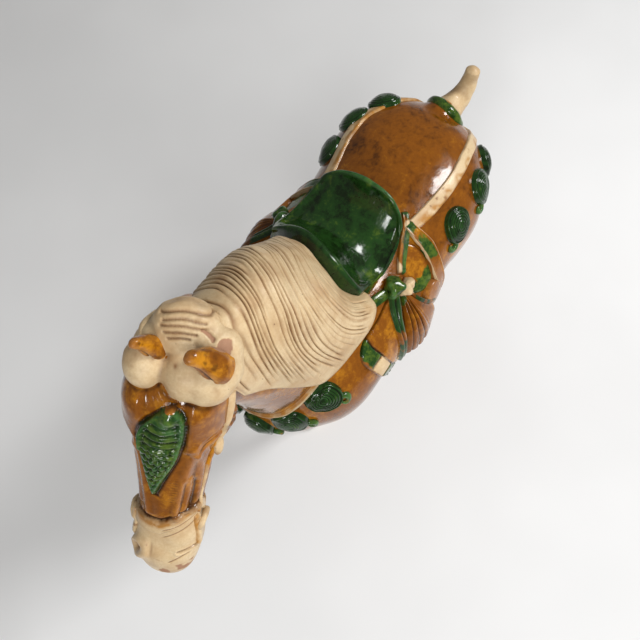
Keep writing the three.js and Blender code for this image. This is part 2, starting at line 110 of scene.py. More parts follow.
# Tail path from the rump out, the radii along the free tail and along its root, and its ring
TAIL_PATH = [
    [-118, 0, 208], [-130, 1, 213], [-142, 3, 214], [-153, 6, 219], [-160, 7.5, 228],
    [-163, 7, 240],
]
TAIL_RADII = [11, 9, 7.2, 6, 5.2, 4.6]
DOCK_RADII = [16, 14, 12.6]
TAIL_RING_RADIUS, TAIL_RING_THICKNESS = 12.2, [3.9, 3.5, 3.9]

# Ears: base, tip, half width and depth
EARS = {
    "right": ([115.2, -15.8, 342], [119.4, -18.8, 357], 5.6, 5.2),
    "left": ([107.0, 10.4, 340], [111.8, 3.2, 357], 7.6, 7.2),
}
EAR_OPENING = [0.72, 0.45, -0.65]

# Hair lines of the mane, from the right of the crest over to the left edge, front to back
HAIR_LINES = [
    [[104, -18, 318], [108, -21, 330], [107, -7, 344], [110, 8, 340], [110, 17, 325],
     [109, 20, 305]],
    [[88, -19, 310], [88, -24, 324], [83, -12, 337], [86, 4, 342], [93, 16, 325], [98, 25, 286]],
    [[78, -20, 305], [75, -25, 320], [71, -11, 336], [75, 7, 340], [86, 22, 318], [88, 33, 266]],
    [[67, -21, 300], [62, -26, 315], [60, -9, 333], [70, 12, 334], [80, 27, 309], [77, 41, 251]],
    [[56, -21, 291], [50, -26, 305], [52, -7, 326], [65, 18, 327], [73, 31.5, 298], [64, 44, 245]],
    [[45, -22, 280], [39, -25.5, 291], [44, -5, 314], [58, 20, 317], [60, 35, 285],
     [48, 45.5, 243]],
    [[36, -24, 266], [30, -26, 278], [36, -4, 302], [50, 21, 308], [48, 37, 274], [31, 46, 242]],
    [[26, -25, 258], [22, -25, 270], [27, -4, 288], [40, 19, 297], [36, 35, 266], [19, 42, 243]],
    [[24, -34, 250], [20, -25, 262], [17, -10, 270], [22, 8, 268], [24, 23.5, 255],
     [15, 33.5, 244]],
]
MANE_GROOVES = 30
MANE_THICKNESS = 6.5

# Saddle arches from front to back: right end, middle x and z, left end, lean to the front on the
# left, and how late the arch falls
SADDLE = [
    [16, -41, 226, 30, 246, 20, 34, 226, 0.3, 2.1],
    [15, -40, 240, 25, 261, 21, 33, 239, 0.3, 2.1],
    [14, -38, 250, 14, 270.5, 19, 31, 249, 0.35, 2.1],
    [9, -40, 246, 5, 257.5, 9, 33, 242, 0.3, 2.1],
    [3, -41, 240, -6, 250.5, -2, 34, 234, 0.15, 2.2],
    [-7.5, -37, 243, -21, 250, -13, 34.5, 237, 0.05, 2.4],
    [-21, -33.5, 246, -32, 257, -22, 32.5, 242, 0, 2.8],
    [-33, -31, 250, -38.5, 264, -29, 29, 247, 0, 3],
    [-36, -31, 240, -42, 256, -31, 29, 238, 0, 3],
    [-36, -31, 230, -42, 240, -31, 29, 230, 0, 3],
]
PLACE_OF_FRONT, PLACE_OF_BACK = 2 / 9, 7 / 9

# Straps as points close to the body: each side of the crupper, and the left of the breast strap
CRUPPER_LEFT = [
    [-36, 30, 233], [-60, 34, 231], [-82, 36, 231], [-99, 35.5, 230], [-113, 34, 227],
    [-125, 30, 218], [-134, 24, 206], [-141, 14, 198], [-145.5, 2, 195],
]
CRUPPER_RIGHT = [
    [-34, -35, 229], [-66, -41, 226], [-84, -42, 225], [-102, -40, 225], [-113, -34, 226],
    [-124, -27, 220], [-134, -20, 209], [-141, -11, 199], [-145.5, 0, 195],
]
BREAST_STRAP = [
    [62, 44, 244], [73, 37, 240], [81, 32, 234], [90, 27, 226], [99, 23, 216], [107, 10, 208],
    [111, 3, 200],
]
# Medallions, each with the way its curl points
FLANK_CURL, CHEST_CURL, FAR_CURL = [0.75, 0.45, -0.5], [-0.5, 0.8, -0.3], [0.1, 0.2, -1]
MEDALLIONS = [
    ([-65, 53, 220], FLANK_CURL), ([-100, 51, 215], FLANK_CURL), ([-127, 43, 203], FLANK_CURL),
    ([-70, -54, 215], FAR_CURL), ([-99, -51, 220], FAR_CURL), ([-119, -36, 222], FAR_CURL),
    ([79, 42, 222], CHEST_CURL), ([101, 31, 205], CHEST_CURL), ([109, 12, 186], CHEST_CURL),
    ([79, -40, 222], CHEST_CURL), ([99, -31, 205], CHEST_CURL), ([109, -12, 186], CHEST_CURL),
]

# Points of each grid, along the form and around or across it
TRUNK_GRID, NECK_GRID, LEG_GRID = (140, 96), (80, 80), (110, 48)
MANE_GRID, SADDLE_GRID, FAN_GRID = (540, 132), (200, 160), (80, 130)
EAR_GRID, PATCH_GRID, BLANKET_GRID = (84, 84), (32, 120), (46, 170)
MEDALLION_GRID, CURL_GRID = (44, 84), (36, 18)
HEAD_ROWS, HEAD_END_ROWS, HEAD_AROUND = 330, 12, 204
LOCK_ROWS, KNOB_ROWS, TAIL_AROUND, PLINTH_AROUND = 36, 30, 90, 340
UNDERSIDE_STEP = -26
DOCK_AROUND, STRAP_AROUND, BIT_AROUND, RING_AROUND = 40, 28, 24, 36
STRIP_STEP, FINE_STEP = 0.9, 0.6

# Places across a strip as shares of its half width, how deep its edge and underside sink
STRIP_ACROSS = np.r_[-1.14, -1.03, np.linspace(-0.97, 0.97, 17), 1.03, 1.14]
STRIP_EDGE, STRIP_UNDERSIDE = -1.6, -2.8

# Smoothing rounds, and the finer step of the forelock's joined clay
LAY_ROUNDS, STRIP_ROUNDS, CHEEK_ROUNDS, BODY_ROUNDS, FORELOCK_ROUNDS = 4, 3, 6, 13, 35
FORELOCK_STEP = 0.55

# Neck points in front of and above this x and z are sunk below the mane, if it is within reach
NAPE_X, NAPE_Z, NAPE_REACH = -5, 225, 18


# Shapes in numbers


def between(rows, at):
    """Rows of numbers read at places between them by a smooth cubic."""
    rows = np.asarray(rows, float)
    at = np.atleast_1d(np.asarray(at, float))
    k = np.clip(np.searchsorted(rows[:, 0], at, side="right") - 1, 0, len(rows) - 2)
    a, b = rows[k], rows[k + 1]
    before = rows[np.maximum(k - 1, 0)]
    after = rows[np.minimum(k + 2, len(rows) - 1)]
    span = b[:, :1] - a[:, :1]
    t = np.clip((at[:, None] - a[:, :1]) / span, 0, 1)
    slope_a = (b - before) / (b[:, :1] - before[:, :1]) * span
    slope_b = (after - a) / (after[:, :1] - a[:, :1]) * span
    c = 3 * (b - a) - 2 * slope_a - slope_b
    d = 2 * (a - b) + slope_a + slope_b
    return a + t * (slope_a + t * (c + t * d))


def spline(points, t):
    """Smooth curve through points, read at t from 0 to their count less one."""
    p = np.asarray(points, float)
    t = np.asarray(t, float)
    k = np.clip(t.astype(int), 0, len(p) - 2)
    u = (t - k).reshape(t.shape + (1,) * (p.ndim - 1))
    ends = np.concatenate([[2 * p[0] - p[1]], p, [2 * p[-1] - p[-2]]])
    p0, p1, p2, p3 = ends[k], ends[k + 1], ends[k + 2], ends[k + 3]
    return 0.5 * (
        2 * p1 + (p2 - p0) * u + (2 * p0 - 5 * p1 + 4 * p2 - p3) * u**2
        + (3 * p1 - p0 - 3 * p2 + p3) * u**3
    )


def even(points, step):
    """Smooth curve through points, cut into equal steps."""
    fine = spline(points, np.linspace(0, len(points) - 1, 40 * len(points)))
    length = np.r_[0, np.cumsum(np.linalg.norm(np.diff(fine, axis=0), axis=1))]
    at = np.linspace(0, length[-1], max(int(length[-1] / step), 4))
    return np.stack([np.interp(at, length, fine[:, i]) for i in range(fine.shape[1])], 1)


def stretched(values, count):
    """Numbers spread evenly over the given count of places."""
    return np.interp(np.linspace(0, 1, count), np.linspace(0, 1, len(values)), values)


def evened(line, rounds):
    """Line with each point drawn to the middle of its neighbours; the ends stay."""
    for _ in range(rounds):
        line[1:-1] = (line[:-2] + line[2:]) / 2
    return line


def smooth(low, high, x):
    """Soft step from 0 at low to 1 at high."""
    t = np.clip((x - low) / (high - low), 0, 1)
    return t * t * (3 - 2 * t)


def hill(distance, width):
    """Round bump that is 1 in its middle and fades over about the given width."""
    return np.exp(-((distance / width) ** 2))


def unit(v):
    return v / (np.linalg.norm(v, axis=-1, keepdims=True) + 1e-12)


def lumps(p, size, seed=0):
    """Soft random values from -1 to 1 over space, in lumps of about the given size."""
    q = np.asarray(p, float) / size + 100 + 17.3 * seed
    cell = np.floor(q).astype(np.int64)
    f = q - cell
    f = f * f * (3 - 2 * f)
    total = 0
    for corner in np.ndindex(2, 2, 2):
        i = cell + corner
        h = (i[..., 0] * 73856093) ^ (i[..., 1] * 19349663) ^ (i[..., 2] * 83492791)
        h = (h ^ (h >> 13)) * 1274126177 & 0x7FFFFFFF
        share = np.prod(np.where(corner, f, 1 - f), axis=-1)
        total = total + share * ((h >> 7) % 10007 / 5003.5 - 1)
    return total


def angles(count):
    """Equal steps once around."""
    return np.linspace(0, TURN, count, endpoint=False)


def outline(angle, power):
    """Share of a section's half sizes across and up; power 2 is an ellipse, more is squarer."""
    c, s = np.cos(angle), np.sin(angle)
    return np.sign(c) * np.abs(c) ** (2 / power), np.sign(s) * np.abs(s) ** (2 / power)


def rings(centres, side, up, half, rise, drop, count, power=2.0):
    """Grid of rings: one row for each centre, one column for each angle."""
    across, along = outline(np.arange(count) / count * TURN, power)
    side, up = (np.broadcast_to(v, centres.shape)[:, None] for v in (side, up))
    high = np.where(along > 0, rise[:, None] * along, drop[:, None] * along)
    return centres[:, None] + side * (half[:, None] * across)[..., None] + up * high[..., None]


def tube(points, radii, count, squash=1.0):
    """Grid of rings along points, its frame carried along without twist."""
    points = np.asarray(points, float)
    tangent = unit(np.gradient(points, axis=0))
    side = unit(np.cross(tangent[0], UP + 0.01 * FORWARD))
    sides = []
    for t in tangent:
        side = unit(side - np.dot(side, t) * t)
        sides.append(side)
    sides = np.array(sides)
    ups = np.cross(sides, tangent)
    radii = stretched(radii, len(points))
    return rings(points, sides, ups, radii, radii * squash, radii * squash, count)


def skin(grid):
    """Points and faces of a closed skin over rings, each end drawn to its middle."""
    r, c = grid.shape[:2]
    points = np.concatenate([grid.reshape(-1, 3), [grid[0].mean(0)], [grid[-1].mean(0)]])
    i = np.arange(r * c).reshape(r, c)
    j = np.roll(i, -1, axis=1)
    quads = np.stack([i[:-1], j[:-1], j[1:], i[1:]], -1).reshape(-1, 4)
    first = np.stack([j[0], i[0], np.full(c, r * c), np.full(c, -1)], -1)
    last = np.stack([i[-1], j[-1], np.full(c, r * c + 1), np.full(c, -1)], -1)
    faces = np.concatenate([quads, first, last])
    p = points - points.mean(0)
    a, b, d, e = (p[faces[:, k]] for k in range(4))
    quad = faces[:, 3:] >= 0
    volume = np.sum(a * np.cross(b, d)) + np.sum(quad * a * np.cross(d, e))
    if volume < 0:
        faces = np.where(faces[:, 3:] >= 0, faces[:, ::-1], faces[:, [2, 1, 0, 3]])
    return points, faces


def gather(forms):
    """One set of points, faces and values from several."""
    points, faces, values, start = [], [], {}, 0
    for p, f, v in forms:
        points.append(p)
        faces.append(np.where(f >= 0, f + start, -1))
        for key, usual in VALUES.items():
            values.setdefault(key, []).append(np.full(len(p), v.get(key, usual), float))
        start += len(p)
    values = {key: np.concatenate(parts) for key, parts in values.items()}
    return np.concatenate(points), np.concatenate(faces), values


# Values that the glazes read at each point of a piece, with what they are where a piece says
# nothing. green, cream and bare clay: millimetres inside that area. From 0 to 1, the pooling
# value: thick dark glaze, and painted shade under the forelock, in the ear openings and low on
# the locks; thin: worn edge; deep: darker brown; stain: brown rubbed into a groove
VALUES = {"green": -6, "cream": -6, "bare": -6, "pool": 0, "thin": 0, "deep": 0, "stain": 0}


def edges_of(faces):
    quads = faces[faces[:, 3] >= 0]
    tris = faces[faces[:, 3] < 0]
    pairs = [quads[:, [0, 1]], quads[:, [1, 2]], quads[:, [2, 3]], quads[:, [3, 0]]]
    pairs += [tris[:, [0, 1]], tris[:, [1, 2]], tris[:, [2, 0]]]
    return np.unique(np.sort(np.concatenate(pairs), axis=1), axis=0)


def spread(values, edges, count, rounds, share=0.5):
    """Values drawn toward the middle of their neighbours; share may differ from point to point."""
    degree = np.bincount(edges.ravel(), minlength=count).astype(float)
    flat = values.reshape(count, -1).copy()
    share = np.broadcast_to(np.asarray(share, float), (count,))[:, None]
    for _ in range(rounds):
        total = np.stack([
            np.bincount(edges[:, 0], flat[edges[:, 1], k], count)
            + np.bincount(edges[:, 1], flat[edges[:, 0], k], count)
            for k in range(flat.shape[1])
        ], 1)
        flat += share * (total / degree[:, None] - flat)
    return flat.reshape(values.shape)


def normals_of(points, faces):
    third = np.where(faces[:, 3] >= 0, faces[:, 3], faces[:, 2])
    cross = np.cross(points[faces[:, 2]] - points[faces[:, 0]], points[third] - points[faces[:, 1]])
    tri = faces[:, 3] < 0
    t = faces[tri]
    cross[tri] = np.cross(points[t[:, 1]] - points[t[:, 0]], points[t[:, 2]] - points[t[:, 0]])
    n = np.zeros_like(points)
    for k in range(4):
        use = faces[:, k] >= 0
        for axis in range(3):
            n[:, axis] += np.bincount(faces[use, k], cross[use, axis], len(points))
    return unit(n)


def raised(points, faces, height):
    """Points moved out from their skin by a height at each."""
    return points + normals_of(points, faces) * height[:, None]


def hollows(points, faces, reach=3):
    """How hollow each point is, per millimetre: above 0 in a groove, below 0 on a ridge."""
    edges = edges_of(faces)
    normal = normals_of(points, faces)
    middle = spread(points, edges, len(points), 1, 1.0)
    lengths = np.linalg.norm(points[edges[:, 0]] - points[edges[:, 1]], axis=1)
    size = np.bincount(edges.ravel(), np.repeat(lengths, 2), len(points))
    size /= np.bincount(edges.ravel(), minlength=len(points))
    bend = np.einsum("ij,ij->i", middle - points, normal) / (size**2 + 1e-9)
    return spread(np.clip(bend, -1, 1), edges, len(points), reach)


# Blender pieces


def mesh_of(name, points, faces, values=None):
    """Mesh in metres from points in millimetres, with its values as attributes."""
    mesh = bpy.data.meshes.new(name)
    used = faces >= 0
    totals = used.sum(1)
    mesh.vertices.add(len(points))
    mesh.vertices.foreach_set("co", (points * MM).astype(np.float32).ravel())
    mesh.loops.add(int(totals.sum()))
    mesh.loops.foreach_set("vertex_index", faces[used].astype(np.int32))
    mesh.polygons.add(len(faces))
    starts = np.r_[0, np.cumsum(totals)[:-1]].astype(np.int32)
    mesh.polygons.foreach_set("loop_start", starts)
    mesh.update(calc_edges=True)
    mesh.validate()
    for key, value in (values or {}).items():
        layer = mesh.attributes.new(key, "FLOAT", "POINT")
        layer.data.foreach_set("value", np.asarray(value, np.float32))
    return mesh


def placed(name, data):
    """New object in the scene."""
    obj = bpy.data.objects.new(name, data)
    bpy.context.scene.collection.objects.link(obj)
    return obj


def piece(name, points, faces, values, material):
    """Finished piece: worn ridges and pooled grooves are read from its own shape."""
    bend = hollows(points, faces)
    values = {k: np.full(len(points), values.get(k, v), float) for k, v in VALUES.items()}
    values["pool"] = np.clip(values["pool"] + smooth(0.02, 0.16, bend), 0, 1)
    values["thin"] = np.clip(values["thin"] + smooth(0.06, 0.26, -bend), 0, 1)
    mesh = mesh_of(name, points, faces, values)
    mesh.shade_smooth()
    obj = placed(name, mesh)
    mesh.materials.append(material)
    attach(obj, "root")
    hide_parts("horse")
    return obj


def read_mesh(mesh):
    points = np.zeros(len(mesh.vertices) * 3, np.float32)
    mesh.vertices.foreach_get("co", points)
    totals = np.zeros(len(mesh.polygons), np.int32)
    mesh.polygons.foreach_get("loop_total", totals)
    loops = np.zeros(len(mesh.loops), np.int32)
    mesh.loops.foreach_get("vertex_index", loops)
    starts = np.r_[0, np.cumsum(totals)[:-1]]
    faces = np.full((len(totals), 4), -1)
    for k in range(4):
        has = totals > k
        faces[has, k] = loops[starts[has] + k]
    return points.reshape(-1, 3).astype(float) / MM, faces


def melt(name, forms, voxel):
    """One skin over overlapping forms, as wet clay joins, from voxels of the given size."""
    points, faces, _ = gather([(p, f, {}) for p, f in forms])
    obj = placed(name, mesh_of(name, points, faces))
    remesh = obj.modifiers.new("melt", "REMESH")
    remesh.mode = "VOXEL"
    remesh.voxel_size = voxel * MM
    remesh.use_smooth_shade = True
    depsgraph = bpy.context.evaluated_depsgraph_get()
    result = read_mesh(obj.evaluated_get(depsgraph).to_mesh())
    bpy.data.objects.remove(obj)
    return result


def tree_of(points, faces):
    polygons = [tuple(int(i) for i in face if i >= 0) for face in faces]
    return BVHTree.FromPolygons([tuple(p) for p in points], polygons)


SURFACES = {}


def nearest(points, on):
    """Closest places on the body or head, and the surface's direction there."""
    place, normal = np.zeros((points.size // 3, 3)), np.zeros((points.size // 3, 3))
    for i, p in enumerate(points.reshape(-1, 3)):
        hit = SURFACES[on].find_nearest(Vector(p))
        place[i], normal[i] = hit[0], hit[1]
    return place.reshape(points.shape), normal.reshape(points.shape)


def lay(points, height, on="body"):
    """Points brought onto a surface and raised off it by a height; its normals are evened out."""
    place, normal = nearest(points, on)
    for _ in range(LAY_ROUNDS):
        normal[1:-1] = normal[1:-1] * 2 + normal[:-2] + normal[2:]
        normal[:, 1:-1] = normal[:, 1:-1] * 2 + normal[:, :-2] + normal[:, 2:]
        normal = unit(normal)
    return place + normal * height[..., None]


def strip(points, half_width, profile, on="body", step=STRIP_STEP):
    """Band laid along points; profile is its height at each place from -1 to 1 across it.

    Gives points, faces, and each point's place across and distance along.
    """
    line = evened(nearest(even(points, step), on)[0], STRIP_ROUNDS)
    _, normal = nearest(line, on)
    tangent = unit(np.gradient(line, axis=0))
    side = unit(np.cross(tangent, normal))
    across = STRIP_ACROSS
    along = np.linspace(0, 1, len(line))
    half = stretched(np.atleast_1d(half_width), len(line))
    half = half * (1 + 0.1 * lumps(line, 8, 3) + 0.05 * lumps(line, 3.5, 4))
    spots = line[:, None] + side[:, None] * (across[None, :, None] * half[:, None, None])
    height = profile(np.clip(across, -1, 1))[None] + 0.16 * lumps(spots, 5, 5)
    ends = np.minimum(along, 1 - along) * len(line) * step
    height = np.where(np.abs(across) > 1, STRIP_EDGE, height)
    height = height - 2.6 * (1 - smooth(0, 1.8, ends))[:, None]
    under = lay(spots[:, [-1, 0]], np.full((len(line), 2), STRIP_UNDERSIDE), on)
    out, faces = skin(np.concatenate([lay(spots, height, on), under], axis=1))
    edge = np.concatenate([np.tile(across, (len(line), 1)), np.full((len(line), 2), 1.2)], 1)
    run = np.tile(along[:, None] * len(line) * step, (1, edge.shape[1]))
    return out, faces, np.r_[edge.ravel(), 1.2, 1.2], np.r_[run.ravel(), 0, run.max()]


def patch(border, height, relief=None, grid=PATCH_GRID):
    """Rounded patch of clay laid on the body within a closed border, with relief over it.

    Gives points, faces, and each point's first spot and distance inside.
    """
    rounds, count = grid
    twice = np.array(list(border) + list(border[:3]), float)
    closed = spline(twice, np.linspace(1, len(border) + 1, count, endpoint=False))
    centre = closed.mean(0)
    r = np.r_[np.linspace(0.02, 0.96, rounds), 1.0, 1.03]
    spots = centre + (closed - centre)[None] * r[:, None, None]
    size = np.linalg.norm(closed - centre, axis=1).mean()
    inside = (1 - r)[:, None] * size * np.ones((1, count))
    lift = height * np.sqrt(smooth(-0.4, 2.4, inside)) - 0.8
    lift = lift + 0.25 * lumps(spots, 7, 4)
    if relief is not None:
        lift = lift + relief(spots) * smooth(0, 2.5, inside)
    lift[-1] = -2.5
    out, faces = skin(lay(spots, lift))
    spots = np.r_[spots.reshape(-1, 3), [centre], [centre]]
    return out, faces, spots, np.r_[inside.ravel(), size, 0]


# Body


def head_axes():
    """Axes of the head: along the face, to its left, out of the face."""
    turn, dip, lean = (math.radians(v) for v in (HEAD_TURN, HEAD_DIP, HEAD_LEAN))
    ahead = np.array([math.cos(turn), math.sin(turn), 0.0])
    sideways = np.array([-math.sin(turn), math.cos(turn), 0.0])
    along = math.cos(dip) * ahead - math.sin(dip) * UP
    out = math.sin(dip) * ahead + math.cos(dip) * UP
    left = math.cos(lean) * sideways + math.sin(lean) * out
    face = math.cos(lean) * out - math.sin(lean) * sideways
    return np.array([along, left, face])


HEAD_AXES = head_axes()


def in_head(measures):
    """Places given as distance along the face, to its left and out of it."""
    return POLL + np.asarray(measures, float) @ HEAD_AXES


def on_side(points, side):
    """Points given for the left, or for side -1 the same ones on the right."""
    return np.asarray(points, float) * [1, side, 1]


def trunk_form():
    count, around = TRUNK_GRID
    row = between(TRUNK, np.linspace(TRUNK[0][0], TRUNK[-1][0], count))
    return rings(row[:, :3], LEFT, UP, row[:, 3], row[:, 4], row[:, 5], around, TRUNK_POWER)


def neck_form():
    count, around = NECK_GRID
    row = spline(NECK, np.linspace(0, len(NECK) - 1, count))
    crest, throat = row[:, :3], row[:, 3:6]
    depth = np.linalg.norm(crest - throat, axis=1) / 2
    up = unit(crest - throat)
    return rings((crest + throat) / 2, LEFT, up, row[:, 6], depth, depth, around, NECK_POWER)


def leg_form(rows, side):
    count, around = LEG_GRID
    row = between(rows, np.linspace(rows[0][0], rows[-1][0], count))
    centres = np.stack([row[:, 1], side * row[:, 2], row[:, 0]], 1)
    return rings(centres, LEFT, FORWARD, row[:, 4], row[:, 3], row[:, 3], around, LEG_POWER)


# Soft rises and hollows of the muscles: place, size along each axis, height
MUSCLES = [
    [[64, 52, 190], [20, 18, 30], 3.2], [[40, 52, 212], [16, 16, 16], 1.4],
    [[84, 36, 168], [12, 14, 20], -1.2], [[100, 20, 178], [13, 15, 20], 3.0],
    [[113, 0, 172], [12, 6.5, 24], -2.6], [[-42, 56, 176], [12, 16, 26], -2.6],
    [[-88, 55, 188], [24, 18, 26], 2.4], [[-70, 44, 150], [13, 14, 16], -2.0],
    [[-118, 36, 186], [12, 14, 24], 1.6], [[-143, 0, 186], [10, 5, 18], -2.4],
    [[-128, 15, 172], [12, 9, 24], 2.0], [[70, 40, 120], [12, 10, 20], 1.2],
    [[66, 28, 72], [6, 10, 4], 1.0], [[10, 60, 172], [40, 14, 10], -0.8],
]


def mane_sheet():
    """Middle surface of the mane: rows run back along the crest, columns over to the left."""
    s = np.linspace(0, len(HAIR_LINES) - 1, MANE_GRID[0])
    t = np.linspace(0, len(HAIR_LINES[0]) - 1, MANE_GRID[1])
    sheet = spline(np.stack([spline(line, t) for line in HAIR_LINES]), s)
    ds, dt = np.gradient(sheet, axis=0), np.gradient(sheet, axis=1)
    normal = unit(np.cross(dt, ds))
    return s, t, sheet, normal if np.mean(normal[:, len(t) // 2, 2]) > 0 else -normal


def sink_under_mane(points, depth=3.2):
    """Neck points that would show through the mane, sunk below it."""
    _, _, sheet, normal = mane_sheet()
    sheet, normal = sheet[::6, ::5], normal[::6, ::5]
    i = np.arange(sheet.shape[0] * sheet.shape[1]).reshape(sheet.shape[:2])
    faces = np.stack([i[:-1, :-1], i[:-1, 1:], i[1:, 1:], i[1:, :-1]], -1).reshape(-1, 4)
    tree = tree_of(sheet.reshape(-1, 3), faces)
    out = normal[:-1, :-1].reshape(-1, 3)
    for k in np.flatnonzero((points[:, 0] > NAPE_X) & (points[:, 2] > NAPE_Z)):
        place, _, face, _ = tree.find_nearest(Vector(points[k]), NAPE_REACH)
        if place is not None:
            away = points[k] - np.array(place)
            above = away @ out[face]
            aside = np.linalg.norm(away - above * out[face])
            points[k] -= out[face] * (max(above + depth, 0) * smooth(6, 2, aside))
    return points


def body_piece(material, voxel):
    """Trunk, neck, legs and dock melted into one skin, with muscles and a hand-made surface."""
    forms = [skin(trunk_form()), skin(neck_form())]
    forms += [skin(leg_form(rows, side)) for rows in (FORELEG, HINDLEG) for side in (1, -1)]
    forms.append(skin(tube(even(TAIL_PATH[:3], 1.0), DOCK_RADII, DOCK_AROUND)))
    points, faces = melt("body", forms, voxel)
    joint = 0.12 + 0.5 * smooth(0.004, 0.05, hollows(points, faces, 6))
    points = spread(points, edges_of(faces), len(points), BODY_ROUNDS, joint)
    normal = normals_of(points, faces)
    for place, size, height in MUSCLES:
        for side in (1, -1):
            away = (points - on_side(place, side)) / size
            share = 1.0 if place[1] else 0.5
            points += normal * (share * height * np.exp(-(away**2).sum(1)))[:, None]
    points += normal * (0.45 * lumps(points, 21, 1) + 0.16 * lumps(points, 8, 2))[:, None]
    points = sink_under_mane(points)
    SURFACES["body"] = tree_of(points, faces)
    x, _, z = points.T
    rump = smooth(-38, -60, x) * smooth(200, 226, z)
    at_dock = smooth(0, 6, 150 - np.linalg.norm(points - [-280, 0, 270], axis=1))
    clouds = 0.5 * lumps(points, 24, 7) + 0.5 * lumps(points, 11, 8)
    values = {
        "cream": np.maximum(HOOF_HEIGHT + 5 * lumps(points, 13, 4) - z, 8 * at_dock - 4),
        "green": np.where(z < PASTERN_HEIGHT, 3 * lumps(points, 14, 9) - 1.5, -5),
        "deep": np.clip(0.5 + 0.5 * rump + clouds * (1 - rump), 0, 1),
    }
    return piece("body", points, faces, values, material)


# Head

# Plaque on the forehead: distance along the face, half width there, and its middle
PLAQUE = [
    [26, 0.2, 3.2], [27.5, 3.0, 3.0], [30, 5.2, 2.5], [33, 7.2, 1.4],
    [38, 9.2, -0.4], [44, 9.9, -1.6], [50, 9.4, -2.1], [58, 8.0, -2.5],
    [65, 5.8, -3.1], [72, 3.4, -3.8], [78, 1.4, -4.0], [81, 0.2, -4.1],
]
PLAQUE_START, PLAQUE_END = PLAQUE[0][0], PLAQUE[-1][0]
KNOB = (29.5, 2.6)
RIBS_END, RIB_PITCH, SCALE_PITCH, BEAD_PITCH = 22.5, 4.2, 3.4, 2.3

# Lines and places on the face, as distance along it and distance to the left
CREASE = [[45, 24], [47.5, 19], [52.7, 13.8]]
BROAD_RIDGE = [[51, 14], [61, 11.2], [71, 9.2], [81, 7.8], [95, 6.2]]
NARROW_RIDGE = [[52.7, 14], [65, 15.2], [77, 14.6], [86, 13.6], [93, 12.6]]
PANEL = [[70, 11.6], [80, 11], [92, 9.6]]
PANEL_POOL = [[84, 12.4], [92, 11.4]]
RIGHT_RIDGES = [
    [[52, -14], [64, -11.6], [80, -9.2], [95, -7.5]],
    [[55, -15.5], [72, -14.5], [90, -12]],
]
LEFT_NOSTRIL = [[122.6, 8.5], [121.4, 12], [120.2, 15.6]]
MUZZLE_SCRATCH = [[130, 4], [124, 13]]
HATCH_PITCH = 1.5
NOSEBAND = 100
# Lines and places on the side of the head, as distance along the face and out of it
EYE, NOSTRIL = (48, -25), (126, -12)
CHEEK_BONE = [[52, -27], [66, -25], [84, -22.5], [95, -22]]
LIPS = [[113, -31], [124, -29.5], [135, -27.5], [144, -25]]


def near_line(a, l, line):
    """Distance of places on the face from a line of points, and how far along it they lie."""
    line = even(line, 0.5)
    away = np.full(a.shape, 1e9)
    at = np.zeros(a.shape)
    for k, (la, ll) in enumerate(line):
        d = np.hypot(a - la, l - ll)
        closer = d < away
        away = np.where(closer, d, away)
        at = np.where(closer, k / (len(line) - 1), at)
    return away, at


def plaque_relief(a, l):
    """Leaf-shaped plaque: a knob, arched ribs, then scales, within a beaded rim."""
    along = np.linspace(PLAQUE_START, PLAQUE_END, 200)
    row = between(PLAQUE, along)
    half = np.interp(a, along, np.maximum(row[:, 1], 0.2))
    across = (l - np.interp(a, along, row[:, 2])) / half
    ends = np.minimum(a - PLAQUE_START, PLAQUE_END - a)
    inside = np.minimum((1 - np.abs(across)) * half, ends * 1.2)
    dome = 2.6 * smooth(-0.6, 1.4, inside) + 1.6 * smooth(1, 9, inside)
    knob = ((a - KNOB[0]) / 5.0) ** 2, ((l - KNOB[1]) / 3.8) ** 2
    knob = 2.0 * np.sqrt(np.clip(1 - knob[0] - knob[1], 0, 1))
    arc = np.hypot(a - 27, (l + 0.5) * 0.85)
    rib_zone = smooth(6.5, 8, arc) * smooth(RIBS_END, 21, arc) * smooth(1.2, 2.8, inside)
    groove = hill(np.mod(arc - 7.4, RIB_PITCH) - RIB_PITCH / 2, 0.65)
    ribs = -1.25 * groove * rib_zone
    row = (arc - RIBS_END) / SCALE_PITCH
    shift = 0.5 * np.mod(np.floor(row), 2)
    uneven = 0.12 * lumps(np.stack([a, l, 0 * a], -1), 6, 3)
    column = l * (0.31 + 0.0022 * (a - 45)) + shift + uneven
    cell_a, cell_l = np.mod(row, 1) - 0.42, np.mod(column, 1) - 0.5
    scale = np.clip(1 - (cell_a / 0.62) ** 2 - (cell_l / 0.52) ** 2, 0, 1) ** 0.7
    scales = (scale - 0.4) * 1.25 * smooth(21.8, 23.2, arc) * smooth(1.4, 2.6, inside)
    rim = 0.3 * hill(inside - 1.2, 0.8)
    bead_zone = smooth(0, 0.3, across) * smooth(60, 52, a) * smooth(28, 32, a)
    beads = 0.9 * hill(inside - 0.8, 0.9) * (np.cos(TURN * a / BEAD_PITCH) > -0.25) * bead_zone
    moat = -0.8 * hill(inside + 1.0, 0.9)
    height = dome + knob * smooth(-1, 1, inside) + ribs + scales + rim + beads + moat
    return height, inside, groove * rib_zone, moat


